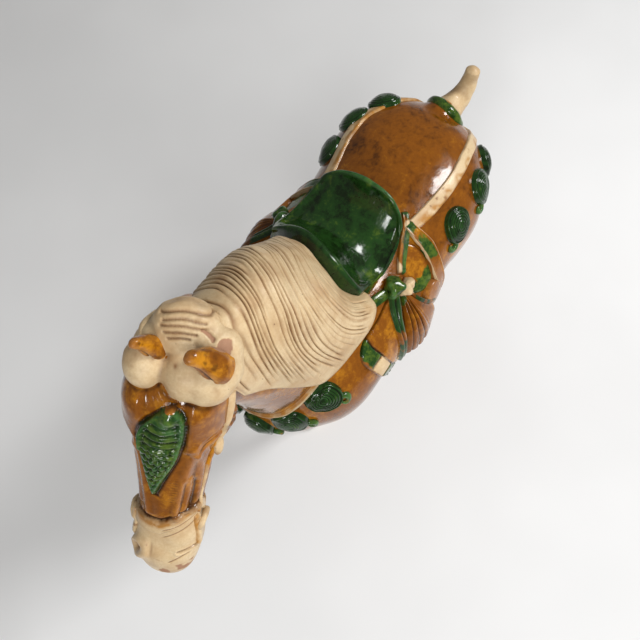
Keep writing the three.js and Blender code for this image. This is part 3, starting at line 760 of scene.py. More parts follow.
class Face:
    """Grid of the head in head measures, and the relief and glaze values worked onto it."""

    def __init__(self):
        poll, lips = np.linspace(-11, 0, HEAD_END_ROWS), np.linspace(143.4, 148, HEAD_END_ROWS)
        row = between(HEAD, np.r_[poll, np.linspace(0.4, 143, HEAD_ROWS), lips])
        angle = angles(HEAD_AROUND)
        across, along = outline(angle, HEAD_POWER)
        square, flat = outline(angle, BROW_POWER)
        brow_zone = smooth(18, 30, row[:, :1]) * smooth(60, 46, row[:, :1])
        across = across + (square - across) * brow_zone
        along = along + (flat - along) * brow_zone
        self.a = np.repeat(row[:, :1], HEAD_AROUND, 1)
        self.l = row[:, 2:3] * across
        self.n = row[:, 1:2] + np.where(along > 0, row[:, 3:4], row[:, 4:5]) * along
        self.along = along
        self.top = smooth(0.25, 0.6, along)
        self.base = np.stack([self.a, self.l, self.n], -1)
        self.rise = np.zeros_like(self.a)
        self.values = {key: np.full(self.a.shape, float(value)) for key, value in VALUES.items()}


def add_plaque(face):
    """Green plaque, worn through in places, with an amber knob at its top."""
    a, l, top, values = face.a, face.l, face.top, face.values
    height, inside, ribs, moat = plaque_relief(a, l)
    face.rise += height * top
    on = inside * top - 6 * (1 - top)
    values["green"] = np.maximum(values["green"], on + 0.6 + 0.6 * lumps(face.base, 3, 3))
    values["pool"] += top * (np.clip(-moat, 0, 1) + 0.8 * ribs)
    worn = hill(np.hypot(a - 35, (l - 0.5) * 0.9), 3.0) + hill(np.hypot(a - 39, l - 4), 2.2)
    worn += 0.8 * hill(inside - 1.0, 1.0) * smooth(-4, 3, l + 0.1 * a)
    values["thin"] += 0.9 * worn * top
    amber_knob = hill(np.hypot(a - 26.3, l - 2.8), 1.7)
    values["green"] -= 6 * top * amber_knob


def add_brow_and_cheek(face, side):
    """Brow that overhangs the cheek, eye with its lids, jowl and cheek bone of one side."""
    a, n, along, values = face.a, face.n, face.along, face.values
    s = side * face.l
    edge = 46 - 0.3825 * (s - 12)
    brow = smooth(1.2, -1.2, a - edge - 6 * smooth(20, 10, s)) * smooth(8, 11, s)
    face.rise += 1.7 * brow * smooth(14, 24, a) * smooth(-0.35, 0.1, along)
    face.rise += 3.0 * hill(np.hypot((a - 27) / 10, (s - 15) / 7.5), 1) * smooth(0, 0.3, along)
    eye_a, eye_n = a - EYE[0], n - EYE[1]
    ball = 1 - (eye_a / 8) ** 2 - (eye_n / 4.6) ** 2
    outer = s > 8
    face.rise += 2.6 * np.sqrt(np.clip(ball, 0, 1)) * outer
    lid = hill(ball, 0.42) * outer * smooth(13, 9, np.abs(eye_a))
    face.rise += 1.1 * lid * np.where(eye_n > 0, 1.25, 0.8)
    values["deep"] += 0.8 * (ball > 0) * outer
    values["pool"] += 0.8 * hill(ball - 0.08, 0.12) * outer
    jowl = hill(np.hypot((a - 26) / 20, (n + 42) / 13), 1) * outer
    face.rise += 2.2 * jowl - 1.0 * hill(np.hypot((a - 62) / 11, (n + 30) / 7), 1) * outer
    bone, at = near_line(a, n, CHEEK_BONE)
    face.rise += 1.3 * hill(bone, 2.0) * outer * (1 - 0.5 * at)


def add_nose(face):
    """Crease that leaves the cheek strap and forks into two ridges, with a panel between them."""
    a, l, values = face.a, face.l, face.values
    left, right = smooth(2, 5, l), smooth(-2, -5, l)
    crease, _ = near_line(a, l, CREASE)
    face.rise += left * (0.9 * hill(crease - 1.6, 1.0) - 1.0 * hill(crease + 0.6, 0.9))
    values["thin"] += 0.8 * left * hill(crease - 1.4, 1.1)
    broad, _ = near_line(a, l, BROAD_RIDGE)
    face.rise += 1.7 * hill(broad, 2.1) * left
    values["thin"] += 0.75 * hill(broad, 2.3) * left
    narrow, at = near_line(a, l, NARROW_RIDGE)
    face.rise += (1.2 + 0.7 * at) * hill(narrow, 1.2 + 0.5 * at) * left
    values["thin"] += 0.6 * hill(narrow, 1.2) * left * (1 - 0.6 * at)
    panel, at = near_line(a, l, PANEL)
    edge = 0.9 * hill(panel - 2.1, 0.7) * smooth(0.02, 0.2, at)
    face.rise += left * (1.0 * hill(panel, 1.0) - edge)
    pool, _ = near_line(a, l, PANEL_POOL)
    values["pool"] += left * hill(pool, 1.3)
    for line in RIGHT_RIDGES:
        far, _ = near_line(a, l, line)
        face.rise += 1.3 * hill(far, 1.7) * right
        values["thin"] += 0.4 * hill(far, 1.6) * right
    hatch = smooth(68, 72, a) * smooth(88, 82, a) * smooth(1, 3, l) * smooth(8, 6.5, l)
    face.rise += 0.08 * np.cos(TURN * a / HATCH_PITCH) * hatch


def add_noseband(face):
    """Cream band, higher on the left, with scored lines; gives the distance in front of it."""
    l, along, base, values = face.l, face.along, face.base, face.values
    band = face.a - NOSEBAND + 0.62 * np.clip(l + 1, 0, 40) * smooth(-0.4, 0.3, along)
    bridge = smooth(-0.9, 0.5, band) * smooth(8.6, 7.4, band)
    face.rise += 1.5 * bridge - 0.9 * hill(band + 1.2, 0.9)
    for at_line, weight in ((6.0, 0.6), (7.6, 0.7), (12.5, 0.5)):
        near = hill(band - at_line - 0.3 * lumps(base, 6, 3), 0.42)
        face.rise -= weight * near * smooth(0.15, 0.4, along) * smooth(-1, 2, l)
        values["stain"] += 0.8 * near * smooth(0.1, 0.4, along) * smooth(-1, 2, l)
    values["cream"] = np.maximum(values["cream"], band + 0.4 + 0.7 * lumps(base, 7, 8))
    values["pool"] += 1.2 * hill(band + 1.3, 1.0)
    values["stain"] += 0.75 * hill(band - 0.4, 1.5) * (0.65 + 0.35 * lumps(base, 6, 2))
    values["deep"] += 1.3 * hill(band - 1.6, 2.4) * smooth(-0.9, 0.3, lumps(base, 8, 12))
    return band


def add_nostril_and_lips(face, side):
    """Slit nostril on the left, flared round one on the right, and the lips of one side."""
    a, n, values = face.a, face.n, face.values
    s = side * face.l
    if side > 0:
        slit, _ = near_line(a, face.l, LEFT_NOSTRIL)
        hole, flare = (slit / 1.1) ** 2, 0.5
        outer = smooth(0.2, 0.5, face.along) * smooth(5, 7, face.l)
    else:
        hole_a, hole_s = a - NOSTRIL[0], n - NOSTRIL[1]
        lean = hole_a * 0.9 - hole_s * 0.4
        lift = hole_s * 0.9 + hole_a * 0.4
        hole, flare = (lean / 4.8) ** 2 + (lift / 1.9) ** 2, 2.4
        outer = smooth(5, 8, s)
    hole = np.sqrt(hole)
    face.rise += outer * (flare * hill(hole - 1.5, 0.8) - 2.2 * hill(hole, 0.8))
    values["pool"] += 0.35 * outer * hill(hole, 0.6)
    values["stain"] += 0.9 * outer * hill(hole, 0.7)
    lip, _ = near_line(a, n, LIPS)
    face.rise += smooth(2, 6, s) * (0.9 * hill(lip - 2.2, 1.3) - 2.0 * hill(lip, 0.75))
    values["stain"] += 0.7 * hill(lip, 0.8) * smooth(2, 6, s)


def add_muzzle(face, band):
    """Nostrils, lips, and the scratch, blush and chafing on the muzzle."""
    a, l, top, base, values = face.a, face.l, face.top, face.base, face.values
    for side in (1, -1):
        add_nostril_and_lips(face, side)
    scratch, _ = near_line(a, l, MUZZLE_SCRATCH)
    face.rise -= 0.6 * hill(scratch, 0.5) * top
    values["stain"] += 0.7 * hill(scratch, 0.6) * top
    face.rise += 0.9 * hill(np.hypot(a - 128, (l + 4) * 0.7), 6) * top
    face.rise -= 0.7 * hill(np.hypot(a - 118, l), 6) * top
    blush = hill(np.hypot(a - 140, (l - 1.0) * 0.9), 3.6) * top
    chafed = 1.2 * lumps(base, 6, 21) + 0.9 * lumps(base, 2.5, 22) + 0.05 * (band - 64)
    values["bare"] = np.maximum(np.where(blush > 0.35, 3 * (blush - 0.5), -3),
                                np.where(band > 12, chafed, -3))
    values["stain"] += 0.4 * smooth(-0.2, 0.8, lumps(base, 5, 23)) * smooth(16, 36, band)


def head_piece(material):
    """Head with all its relief, and the surface that straps and knobs are laid on."""
    face = Face()
    points, faces = skin(in_head(face.base))
    normal = normals_of(points, faces)[: face.a.size].reshape(face.base.shape)
    add_plaque(face)
    for side in (1, -1):
        add_brow_and_cheek(face, side)
    add_nose(face)
    add_muzzle(face, add_noseband(face))
    # Painted shadow of the forelock on the brow: a dark rim in the glaze just outside each lock
    for place, size in FORELOCK:
        r = np.linalg.norm((face.base - place) / np.array(size), axis=-1)
        face.values["pool"] += 0.55 * hill(r - 1.04, 0.07) * smooth(12, 18, face.a)
    face.rise += 0.16 * lumps(face.base, 9, 5) + 0.08 * lumps(face.base, 3.5, 6)
    points, faces = skin(in_head(face.base) + normal * face.rise[..., None])
    SURFACES["head"] = tree_of(points, faces)
    values = {key: np.r_[v.ravel(), v[0].mean(), v[-1].mean()] for key, v in face.values.items()}
    return piece("head", points, faces, values, material)


# Ears and hair

EAR_POWER = 2.3


def ears_piece(material):
    """Short blunt ears, each a horn with a narrow opening to the front."""
    forms = []
    for side, (base, tip, half, depth) in EARS.items():
        base, tip = np.array(base, float), np.array(tip, float)
        axis = unit(tip - base)
        front = np.array(EAR_OPENING)
        front = unit(front - np.dot(front, axis) * axis)
        across = np.cross(front, axis)
        t = np.linspace(-0.14, 1, EAR_GRID[0])
        close = np.sqrt(np.clip(1 - (np.clip(t - 0.84, 0, 1) / 0.162) ** 2, 0.0004, 1))
        width = half * (1.0 - 0.6 * smooth(0, 0.95, t)) * close
        thick = depth * (1 - 0.54 * smooth(0, 0.95, t)) * close
        u, v = outline(angles(EAR_GRID[1]), EAR_POWER)
        bow = front * (-1.2 * np.sin(np.pi * np.clip(t, 0, 1)))[:, None]
        centre = base + (tip - base) * t[:, None] + bow
        cup = hill(u + 0.25, 0.13) * (v > 0)
        depth_of_cup = 0.2 * smooth(0.95, 0.8, t) * smooth(0.0, 0.2, t)
        reach = v[None] - cup[None] * depth_of_cup[:, None]
        grid = (
            centre[:, None]
            + across * (width[:, None] * u)[..., None]
            + front * (thick[:, None] * reach)[..., None]
        )
        points, faces = skin(grid)
        points = raised(points, faces, 0.12 * lumps(points, 6, 11))
        # Painted shade in the opening of each ear, together with dark spots in the glaze
        hollow = (cup[None] * smooth(0.05, 0.2, depth_of_cup)[:, None]).ravel()
        spots = smooth(0.3, 0.8, lumps(points, 2.0, 31)) * smooth(-0.2, 0.4, lumps(points, 6, 32))
        values = {
            "pool": np.clip(np.r_[1.2 * hollow, 0, 0] + 0.6 * spots, 0, 1),
            "deep": 0.35 + 0.8 * lumps(points, 3.5, 33),
        }
        if side == "left":
            back = np.linalg.norm((points - [99.5, 8, 346]) / [1.0, 1.7, 1.2], axis=1)
            values["bare"] = 3.4 - back + 1.2 * lumps(points, 3, 4)
            pit = hill(np.linalg.norm(points - [100.5, 8, 348], axis=1), 1.4)
            values["pool"] = np.maximum(values["pool"], pit)
        forms.append((points, faces, values))
    return piece("ears", *gather(forms), material)


# Forelock: place in head measures, and half sizes across each head axis
FORELOCK = [
    [[10.5, -11, -1.5], [11.5, 10.5, 9]],
    [[4, -8, -6], [12, 10, 9.5]],
    [[12.5, 7, -1.5], [12.5, 12, 10.5]],
    [[13, 15, -2.5], [13, 13, 11]],
    [[8, 20.5, -5], [12, 10, 12]],
    [[-5, 4, -8.5], [15, 16, 12]],
    [[1, 17, -7.5], [12, 12, 11.5]],
]

# Lines on the forelock, as distance along the face and distance to the left
PARTING = [[5, -2.5], [12, -2.5], [20, -2], [29, -0.5]]
COMBED_LINES = [
    [[-17, -7], [-20.5, 3], [-18.5, 13]], [[-14.2, -6.5], [-17.2, 4], [-15.8, 14.5]],
    [[-12, -4.5], [-14.4, 4], [-13, 13.5]], [[-9.8, -5], [-11.6, 4], [-10.8, 14]],
    [[-7.6, -3], [-8.8, 4], [-8.4, 10.5]], [[-5.4, -1], [-6.4, 4], [-6.4, 8]],
]
LOCK_LINE = [[27, 13], [24.5, 6], [20.5, 3.5]]
SLIVER = [[-10.5, 12.5], [-9, 15], [-7.5, 17]]
# Brown spots: place and size
BROWN_SPOTS = [[4.5, -6.3, 1.0], [5.0, 3.6, 1.0], [22.5, -8.5, 1.5]]


def ball_form(centre, axes, half, count):
    """Grid of an egg shape with its half sizes along the given axes."""
    t = np.linspace(0, np.pi, count)[:, None]
    a = angles(2 * count)[None]
    local = np.stack([np.cos(t) + 0 * a, np.sin(t) * np.cos(a), np.sin(t) * np.sin(a)], -1)
    return np.asarray(centre) + (local * half) @ axes


def forelock_piece(material, voxel):
    """Rounded locks that part over the brow, with combed lines, spots, a bare chip and painted
    shade low down.
    """
    forms = [
        skin(ball_form(in_head(place), HEAD_AXES, size, LOCK_ROWS)) for place, size in FORELOCK
    ]
    points, faces = melt("forelock", forms, voxel)
    points = spread(points, edges_of(faces), len(points), FORELOCK_ROUNDS, 0.5)
    measures = (points - POLL) @ HEAD_AXES.T
    a, l, n = measures.T
    normal = normals_of(points, faces)
    rise = 0.5 * lumps(points, 11, 1) + 0.18 * lumps(points, 4, 2)
    stain = 0.35 * smooth(0.1, 0.9, lumps(points, 5, 6))
    stain += 0.15 * smooth(0, 0.8, lumps(points, 1.6, 7))
    part, _ = near_line(a, l, PARTING)
    rise -= 0.8 * hill(part, 3.2) * (n > -14)
    stain += 0.2 * hill(part, 3.0)
    for line in COMBED_LINES:
        groove, _ = near_line(a, l, line)
        rise -= 1.1 * hill(groove, 0.6) * (n > -13)
        stain += 0.55 * hill(groove, 0.8) * (n > -13)
    lock, _ = near_line(a, l, LOCK_LINE)
    rise -= 0.35 * hill(lock, 0.6) * (n > -12)
    for along, left, size in BROWN_SPOTS:
        stain += 0.9 * hill(np.hypot(a - along, l - left), size)
    chip = 3.2 - np.hypot((a + 4) * 0.8, l - 22) + 0.5 * lumps(points, 3, 5)
    sliver, at = near_line(a, l, SLIVER)
    chip = np.maximum(chip, 0.9 - sliver * (1.4 - 0.6 * at))
    rise -= 0.9 * smooth(-0.4, 0.5, chip)
    slit = hill(np.hypot((a - 6) / 12, (l - 24) / 9), 1)
    values = {
        "stain": stain,
        "bare": chip * 1.6,
        # Painted shade low on the locks, where they turn in toward the head
        "pool": 0.35 * smooth(-10, -22, n),
        "cream": 4,
        "deep": np.clip(0.5 * slit * smooth(0.2, 0.8, lumps(points, 6, 15)), 0, 1),
    }
    points += normal * rise[:, None]
    return piece("forelock", points, faces, values, material)


def mane_piece(material, depth):
    """Sheet of hair with grooves that wander, break off and fork, and a thick lower edge."""
    s, t, sheet, normal = mane_sheet()
    pitch = np.linalg.norm(np.gradient(sheet, axis=0), axis=-1) * len(s) / MANE_GROOVES
    sg, tg = np.meshgrid(s, t, indexing="ij")
    flow = np.stack([sg * 1.9, tg * 0.55, 0 * sg], -1)
    phase = sg / s[-1] * MANE_GROOVES + 0.9 * lumps(flow, 1, 1) + 0.42 * lumps(flow * 2.3, 1, 2)
    number = np.floor(phase)
    off = (phase - number - 0.5) * pitch
    wander = np.stack([number * 3.7, tg * 0.9, 0 * sg], -1)
    strength = smooth(-0.6, 0.05, lumps(wander, 1, 5)) * (0.85 + 0.3 * lumps(wander, 2.3, 6))
    start = 0.35 + 0.5 * np.mod(number * 0.618, 1) * (sg < 2.2)
    strength = strength * smooth(start - 0.12, start + 0.12, tg)
    end = 4.93 - 0.5 * np.mod(number * 0.382, 1)
    strength = strength * smooth(end + 0.14, end - 0.1, tg)
    width = 0.56 + 0.16 * lumps(wander, 1, 7)
    groove = hill(off, width) * strength
    second = np.mod(phase + 0.5 + 0.1 * lumps(flow * 3, 1, 9), 1) - 0.5
    fine = hill(second * pitch, 0.34) * smooth(0.25, 0.7, lumps(wander * 1.7, 1, 11))
    lock = np.cos(np.clip(off / pitch, -0.5, 0.5) * np.pi)
    rise = -depth * groove - 0.3 * fine + 0.12 * (1 - lock)
    rise += 0.45 * lumps(sheet, 15, 3) + 0.15 * lumps(sheet, 5, 4)
    edge = np.minimum.reduce([tg * 7, (5 - tg) * 8, sg * 9, (s[-1] - sg) * 9])
    swell = 1.5 * np.sqrt(smooth(0, 5, edge)) - 1.4
    thick = smooth(3.6, 5, tg)
    outer = sheet + normal * (rise * smooth(0, 2.5, edge) + swell + 1.0 * thick)[..., None]
    back = sheet[:, ::UNDERSIDE_STEP] - normal[:, ::UNDERSIDE_STEP] * MANE_THICKNESS
    points, faces = skin(np.concatenate([outer, back], axis=1))
    smear = 0.4 * hill(off - 0.6, 1.1) * strength * smooth(-0.3, 0.6, lumps(sheet, 10, 13))
    stain = np.clip(groove * (0.65 + 0.5 * lumps(sheet, 9, 12)) + 0.3 * fine + smear, 0, 1)
    blotch = 0.35 * smooth(0.35, 0.9, lumps(sheet, 12, 14))
    spare = np.zeros((len(s), back.shape[1]))
    warm = smooth(4.2, 5, tg) * smooth(0.0, 0.9, lumps(sheet, 7, 18))
    values = {
        "stain": np.r_[np.concatenate([np.maximum(stain, blotch), spare], 1).ravel(), 0, 0],
        "deep": np.r_[np.concatenate([0.5 * warm, spare], 1).ravel(), 0, 0],
        "cream": 4,
    }
    return piece("mane", points, faces, values, material)


# Saddle

SEAT_FLOOR = 224


def saddle_piece(material):
    """Saddle built of arches from front to back, closed below, with rolled edges."""
    v = np.linspace(0, len(SADDLE) - 1, SADDLE_GRID[1])
    row = spline(SADDLE, v)
    u = np.linspace(-1, 1, SADDLE_GRID[0])
    u = (np.sign(u) * (1 - (1 - np.abs(u)) ** 1.25))[:, None]
    right, middle, left = row[:, :3], row[:, 3:5], row[:, 5:8]
    lean, late = row[:, 8][None], row[:, 9][None]
    end = np.where(u[..., None] < 0, right[None], left[None])
    fall = np.abs(u) ** late
    y = 1 + (end[..., 1] - 1) * np.abs(u)
    x = middle[:, 0] + lean * y + (end[..., 0] - middle[:, 0] - lean * end[..., 1]) * fall
    z = middle[:, 1] + (end[..., 2] - middle[:, 1]) * fall
    grid = np.stack([x, y, z], -1)
    ds, dt = np.gradient(grid, axis=0), np.gradient(grid, axis=1)
    normal = unit(np.cross(dt, ds))
    if normal[len(u) // 2, len(v) // 2, 2] < 0:
        normal = -normal
    at = v[None] / v[-1]
    rim = 1.3 * hill(at - PLACE_OF_FRONT, 0.035) + 1.4 * hill(at - PLACE_OF_BACK, 0.03)
    seated = smooth(PLACE_OF_FRONT, 0.3, at) * smooth(PLACE_OF_BACK, 0.7, at)
    rim = rim + 1.3 * hill(np.abs(u) - 0.93, 0.06) * seated
    rim = rim - 0.9 * hill(np.abs(u) - 0.78, 0.08) * seated
    wave = 0.55 * lumps(grid, 17, 4) + 0.25 * lumps(grid, 6, 5)
    grid = grid + normal * (rim + wave)[..., None]
    under = np.linspace(0, 1, 14)[1:-1][None, :, None]
    base = grid[:, -1:] * (1 - under) + grid[:, :1] * under
    base[..., 2] = np.minimum(base[..., 2], SEAT_FLOOR) - 3
    loop = np.concatenate([grid, base], axis=1)
    centre = loop.mean(axis=1, keepdims=True)
    close = np.sqrt(np.clip((1 - np.abs(u)) / 0.045, 0, 1))[..., None]
    loop = centre + (loop - centre) * (0.12 + 0.88 * close)
    points, faces = skin(loop)
    edge = np.abs(points[:, 1] + 2)
    worn = smooth(27, 36, edge) * smooth(-0.2, 0.8, lumps(points, 6, 9))
    cloud = 0.9 + 1.0 * lumps(points, 14, 6) + 0.6 * lumps(points, 6, 7)
    low = smooth(246, 236, points[:, 2]) * 3 - 2.4
    values = {
        "green": 5,
        "deep": cloud - 0.7 * smooth(26, 36, edge),
        "thin": 0.4 * worn - 0.3,
        "bare": np.where(points[:, 0] > 15, low, -4) + 0.8 * lumps(points, 4, 3),
    }
    return piece("saddle", points, faces, values, material)


# Straps and medallions


def band_profile(rise, rim=0.0):
    """Height across a band from -1 to 1: flat with round sides, and a raised rim if asked for."""

    def height(across):
        edge = np.abs(across)
        return rise * np.sqrt(np.clip(1.02 - edge**4, 0, 1)) + rim * hill(edge - 0.82, 0.16)

    return height


def strap_values(points, edge, seed):
    """Cream strap: yellow-brown stain along its edges, dark pits here and there."""
    stain = 0.8 * smooth(0.5, 1.0, np.abs(edge)) * smooth(-0.4, 0.5, lumps(points, 7, seed))
    yellow = smooth(-0.1, 0.6, edge + 0.9 * lumps(points, 7, seed + 9))
    pits = smooth(0.62, 0.72, lumps(points, 2.2, seed + 1)) * smooth(-0.2, 0.4, lumps(points, 9, 3))
    cream = 3.2 - 3.6 * smooth(0.86, 1.08, np.abs(edge)) + 1.2 * lumps(points, 3, seed + 4)
    return {"cream": cream, "stain": np.clip(stain + pits, 0, 1), "deep": yellow}


# Strap from the right cheek up behind the forelock
HEADSTALL = [
    [86, -25, 318], [98, -25.5, 332], [107, -25.5, 339.5], [114, -22, 343], [117, -16, 342],
]
HEADSTALL_RADII = [2.2, 2.8, 2.8, 2.4]


def straps_piece(material, half_width):
    forms = []
    breast = 0.7 * half_width
    paths = [
        (CRUPPER_LEFT, half_width), (CRUPPER_RIGHT, half_width),
        (BREAST_STRAP, breast), (on_side(BREAST_STRAP, -1), breast),
    ]
    for seed, (path, half) in enumerate(paths):
        points, faces, edge, _ = strip(path, half, band_profile(1.7, 0.35))
        forms.append((points, faces, strap_values(points, edge, seed * 5)))
    points, faces = skin(tube(even(HEADSTALL, FINE_STEP), HEADSTALL_RADII, STRAP_AROUND))
    points = raised(points, faces, 0.3 * lumps(points, 5, 17))
    forms.append((points, faces, {"cream": 3 + 2 * lumps(points, 8, 4)}))
    return piece("straps", *gather(forms), material)


# Left cheek strap, bit ring and the strap below it, in head measures
CHEEK_LEFT = [
    [6, 26, -18], [18, 28, -14], [39, 28, -13], [52, 26, -14], [66, 21.5, -14.5], [84, 18, -13.5],
    [97, 16.5, -12.5],
]
CHEEK_RADII = [2.6, 2.8, 2.4, 1.7, 1.8, 1.3, 1.0, 1.0]
BIT_RADII, KNOB_SIZE = [1.9, 1.7, 1.9], [5.8, 2.6, 2.8]
BIT_STRAP = [[99, 16.5, -13], [106, 17.5, -13.5], [114, 18, -14.5], [121, 17.5, -15]]


def bit_ring(side):
    """Path of the bit ring at the corner of the mouth."""
    ring = np.linspace(0, TURN, 90)
    out = side * (17.2 - 1.2 * np.cos(ring))
    return np.stack([107 + 4.4 * np.cos(ring), out, -19 + 5.0 * np.sin(ring)], 1)


def cheek_piece(material):
    """Cheek straps with a knob on each, and the bit rings at the corners of the mouth."""
    forms = []
    for side, lower in ((1, 0), (-1, 9)):
        path = in_head(on_side(CHEEK_LEFT, side) - [0, 0, lower])
        line = evened(nearest(even(path, FINE_STEP), "head")[0], CHEEK_ROUNDS)
        points, faces = skin(tube(line, CHEEK_RADII, STRAP_AROUND, 0.8))
        points = raised(points, faces, 0.25 * lumps(points, 5, 7 + side))
        stain = 0.7 * smooth(0.1, 0.8, lumps(points, 7, 3 + side))
        forms.append((points, faces, {"cream": 1.2 + 3.6 * lumps(points, 9, 4), "stain": stain}))
        knob = in_head([57, side * (21.6 - 0.4 * lower), -16 - lower])
        points, faces = skin(ball_form(knob, HEAD_AXES, KNOB_SIZE, KNOB_ROWS))
        points = raised(points, faces, 0.35 * lumps(points, 2.2, 5 + side))
        stain = 0.8 * smooth(0.0, 0.7, lumps(points, 5, 6 + side))
        forms.append((points, faces, {"cream": 4, "stain": stain}))
        points, faces = skin(tube(in_head(bit_ring(side)), BIT_RADII, BIT_AROUND))
        points = raised(points, faces, 0.2 * lumps(points, 3, 9))
        stain = 0.55 * smooth(-0.2, 0.8, lumps(points, 4, 8))
        forms.append((points, faces, {"cream": 4, "stain": stain}))
        down = in_head(on_side(BIT_STRAP, side))
        points, faces, edge, _ = strip(down, 2.2, band_profile(1.6), "head", FINE_STEP)
        forms.append((points, faces, strap_values(points, edge, 41)))
    return piece("cheek_straps", *gather(forms), material)


CURL_RADII = [1.2, 2.1, 2.1, 1.9, 1.7, 1.3, 0.9]
WINDING_PITCH = 1.7


def medallion_form(centre, curl, radius, seed):
    """Domed disc with a line wound over it, a raised collar, and the curl that it ends in."""
    place, normal = (v[0] for v in nearest(np.array([centre], float), "body"))
    along = np.array(curl) * [1, np.sign(centre[1]), 1]
    along = unit(along - np.dot(along, normal) * normal)
    side = np.cross(normal, along)
    r = np.r_[np.linspace(0.02, 0.97, MEDALLION_GRID[0]), 1.03, 1.1][:, None]
    a = angles(MEDALLION_GRID[1])[None]
    oval = 1 + 0.05 * np.cos(2 * a + seed) + 0.02 * np.cos(3 * a - seed)
    local = along * (np.cos(a) * r * oval)[..., None]
    local = local + side * (0.94 * np.sin(a) * r * oval)[..., None]
    spots = place + local * radius
    winding = r * radius / WINDING_PITCH - a / TURN + 0.12 * lumps(spots, 5, seed)
    line = hill(np.mod(winding, 1) - 0.5, 0.17) * smooth(0.1, 0.22, r) * smooth(0.84, 0.76, r)
    collar = hill(r - 0.92, 0.07) * (0.8 + 0.3 * np.cos(a))
    gap = hill(r - 0.82, 0.045)
    dome = 5.6 * np.sqrt(np.clip(1.03 - r**2.5, 0, 1)) + 0 * a
    height = dome + 0.8 * collar - 0.38 * line - 0.5 * gap + 0.35 * lumps(spots, 4, seed)
    height = np.where(r > 1, -1.5, height)
    points, faces = skin(lay(spots, height))
    rim = np.r_[smooth(0.95, 1.06, r + 0 * a).ravel(), 0, 1]
    values = {
        "green": 3.6 + 1.4 * lumps(points, 5, seed) - 2.2 * rim,
        "pool": np.r_[(0.2 * line + 0.6 * gap).ravel(), 0, 0],
        "thin": np.r_[(0.5 * collar - 0.5).ravel(), 0, 0],
        "deep": 1.0 + 0.6 * lumps(points, 8, seed + 1),
    }
    forms = [(points, faces, values)]
    t = np.linspace(0, 1, CURL_GRID[0])
    swing = np.sign(centre[1])
    turn = np.pi * (1.1 - 1.75 * t)
    reach = 4.6 - 2.6 * t
    spine = place + along * (radius * 1.22 + reach * np.cos(turn))[:, None]
    spine = spine + side * (swing * (reach * np.sin(turn) - 1.5))[:, None]
    foot, out = nearest(spine, "body")
    points, faces = skin(tube(foot + out * 0.9, CURL_RADII, CURL_GRID[1], 0.9))
    points = raised(points, faces, 0.2 * lumps(points, 3, seed + 3))
    values = {
        "green": 1.8 + 2.6 * lumps(points, 5, seed + 2),
        "thin": 0.5 * smooth(0, 0.7, lumps(points, 4, seed + 5)),
    }
    forms.append((points, faces, values))
    return forms


def medallions_piece(material, radius):
    forms = []
    for seed, (centre, curl) in enumerate(MEDALLIONS):
        forms += medallion_form(centre, curl, radius, seed)
    return piece("medallions", *gather(forms), material)


# Saddle cloth

# Edges of the fan on the left side, from the knot down
FAN_LEFT = [[-1, 48, 226], [6, 54, 220], [14, 60, 211], [20, 65, 201], [23, 68, 191]]
FAN_RIGHT = [[-5, 50, 225], [-7, 56, 218], [-12, 61, 210], [-18, 65, 202], [-16, 67, 194]]
# Bands on the left side: the loop behind the fan, the fold on the flap, the hem along the saddle,
# the sash down the front of the fan, and the tie that comes from under the saddle
LOOP_BAND = [
    [-41, 27, 234], [-39, 37, 231], [-38, 45, 227], [-35, 52, 221], [-32, 58, 213], [-31, 62, 204],
    [-27, 64, 197],
]
FLAP_LINE = [[-7, 51, 224], [-7, 56, 218], [-12, 61, 209], [-20, 65, 201]]
SADDLE_EDGE = [[-47, 22, 236], [-40, 28, 236], [-29, 34, 236], [-20, 38, 233], [-12, 42, 229]]
SASH = [[1, 44, 231], [9, 49, 226], [15, 54, 220], [20, 60, 211], [23, 65, 200], [24, 67, 190]]
FRONT_TIE = [[26, 35, 240], [17, 38, 237], [9, 40, 234], [1, 43, 231]]
# Borders of the sheets on the left side: cloth within the loop, its flap, and the blanket corner
POCKET = [
    [-30, 34, 236], [-34, 42, 230], [-32, 51, 222], [-27, 58, 214], [-18, 59, 213], [-8, 54, 220],
    [-9, 46, 226], [-18, 39, 233],
]
FLAP = [
    [-26, 58, 214], [-33, 62, 204], [-29, 66, 195], [-17, 67, 197], [-10, 61, 209], [-16, 58, 214],
]
BLANKET = [
    [4, 44, 230], [22, 46, 232], [40, 46, 232], [49, 50, 225], [48, 57, 213], [45, 62, 202],
    [40, 65, 192], [27, 67, 189], [21, 64, 202], [12, 54, 219],
]
# Front edge of the blanket: heights, and how far forward the edge lies there
BLANKET_HEIGHTS = [188, 192, 202, 213, 225, 232]
BLANKET_FRONT = [38, 40, 45, 48, 49, 47]
# Blanket: lines of the quilting, width of the border and top of the fringe
QUILT_LOW, QUILT_HIGH, BORDER, FRINGE = 206.5, 217, 11, 198
# Pleats run over this share of the fan
PLEATED = 0.62
# The two balls of the knot: place and half sizes
KNOT_ABOVE = [[-1.5, 43, 232.5], [7.6, 6.4, 4.8]]
KNOT_BELOW = [[-6.5, 48.5, 227.5], [6.2, 5.0, 5.6]]


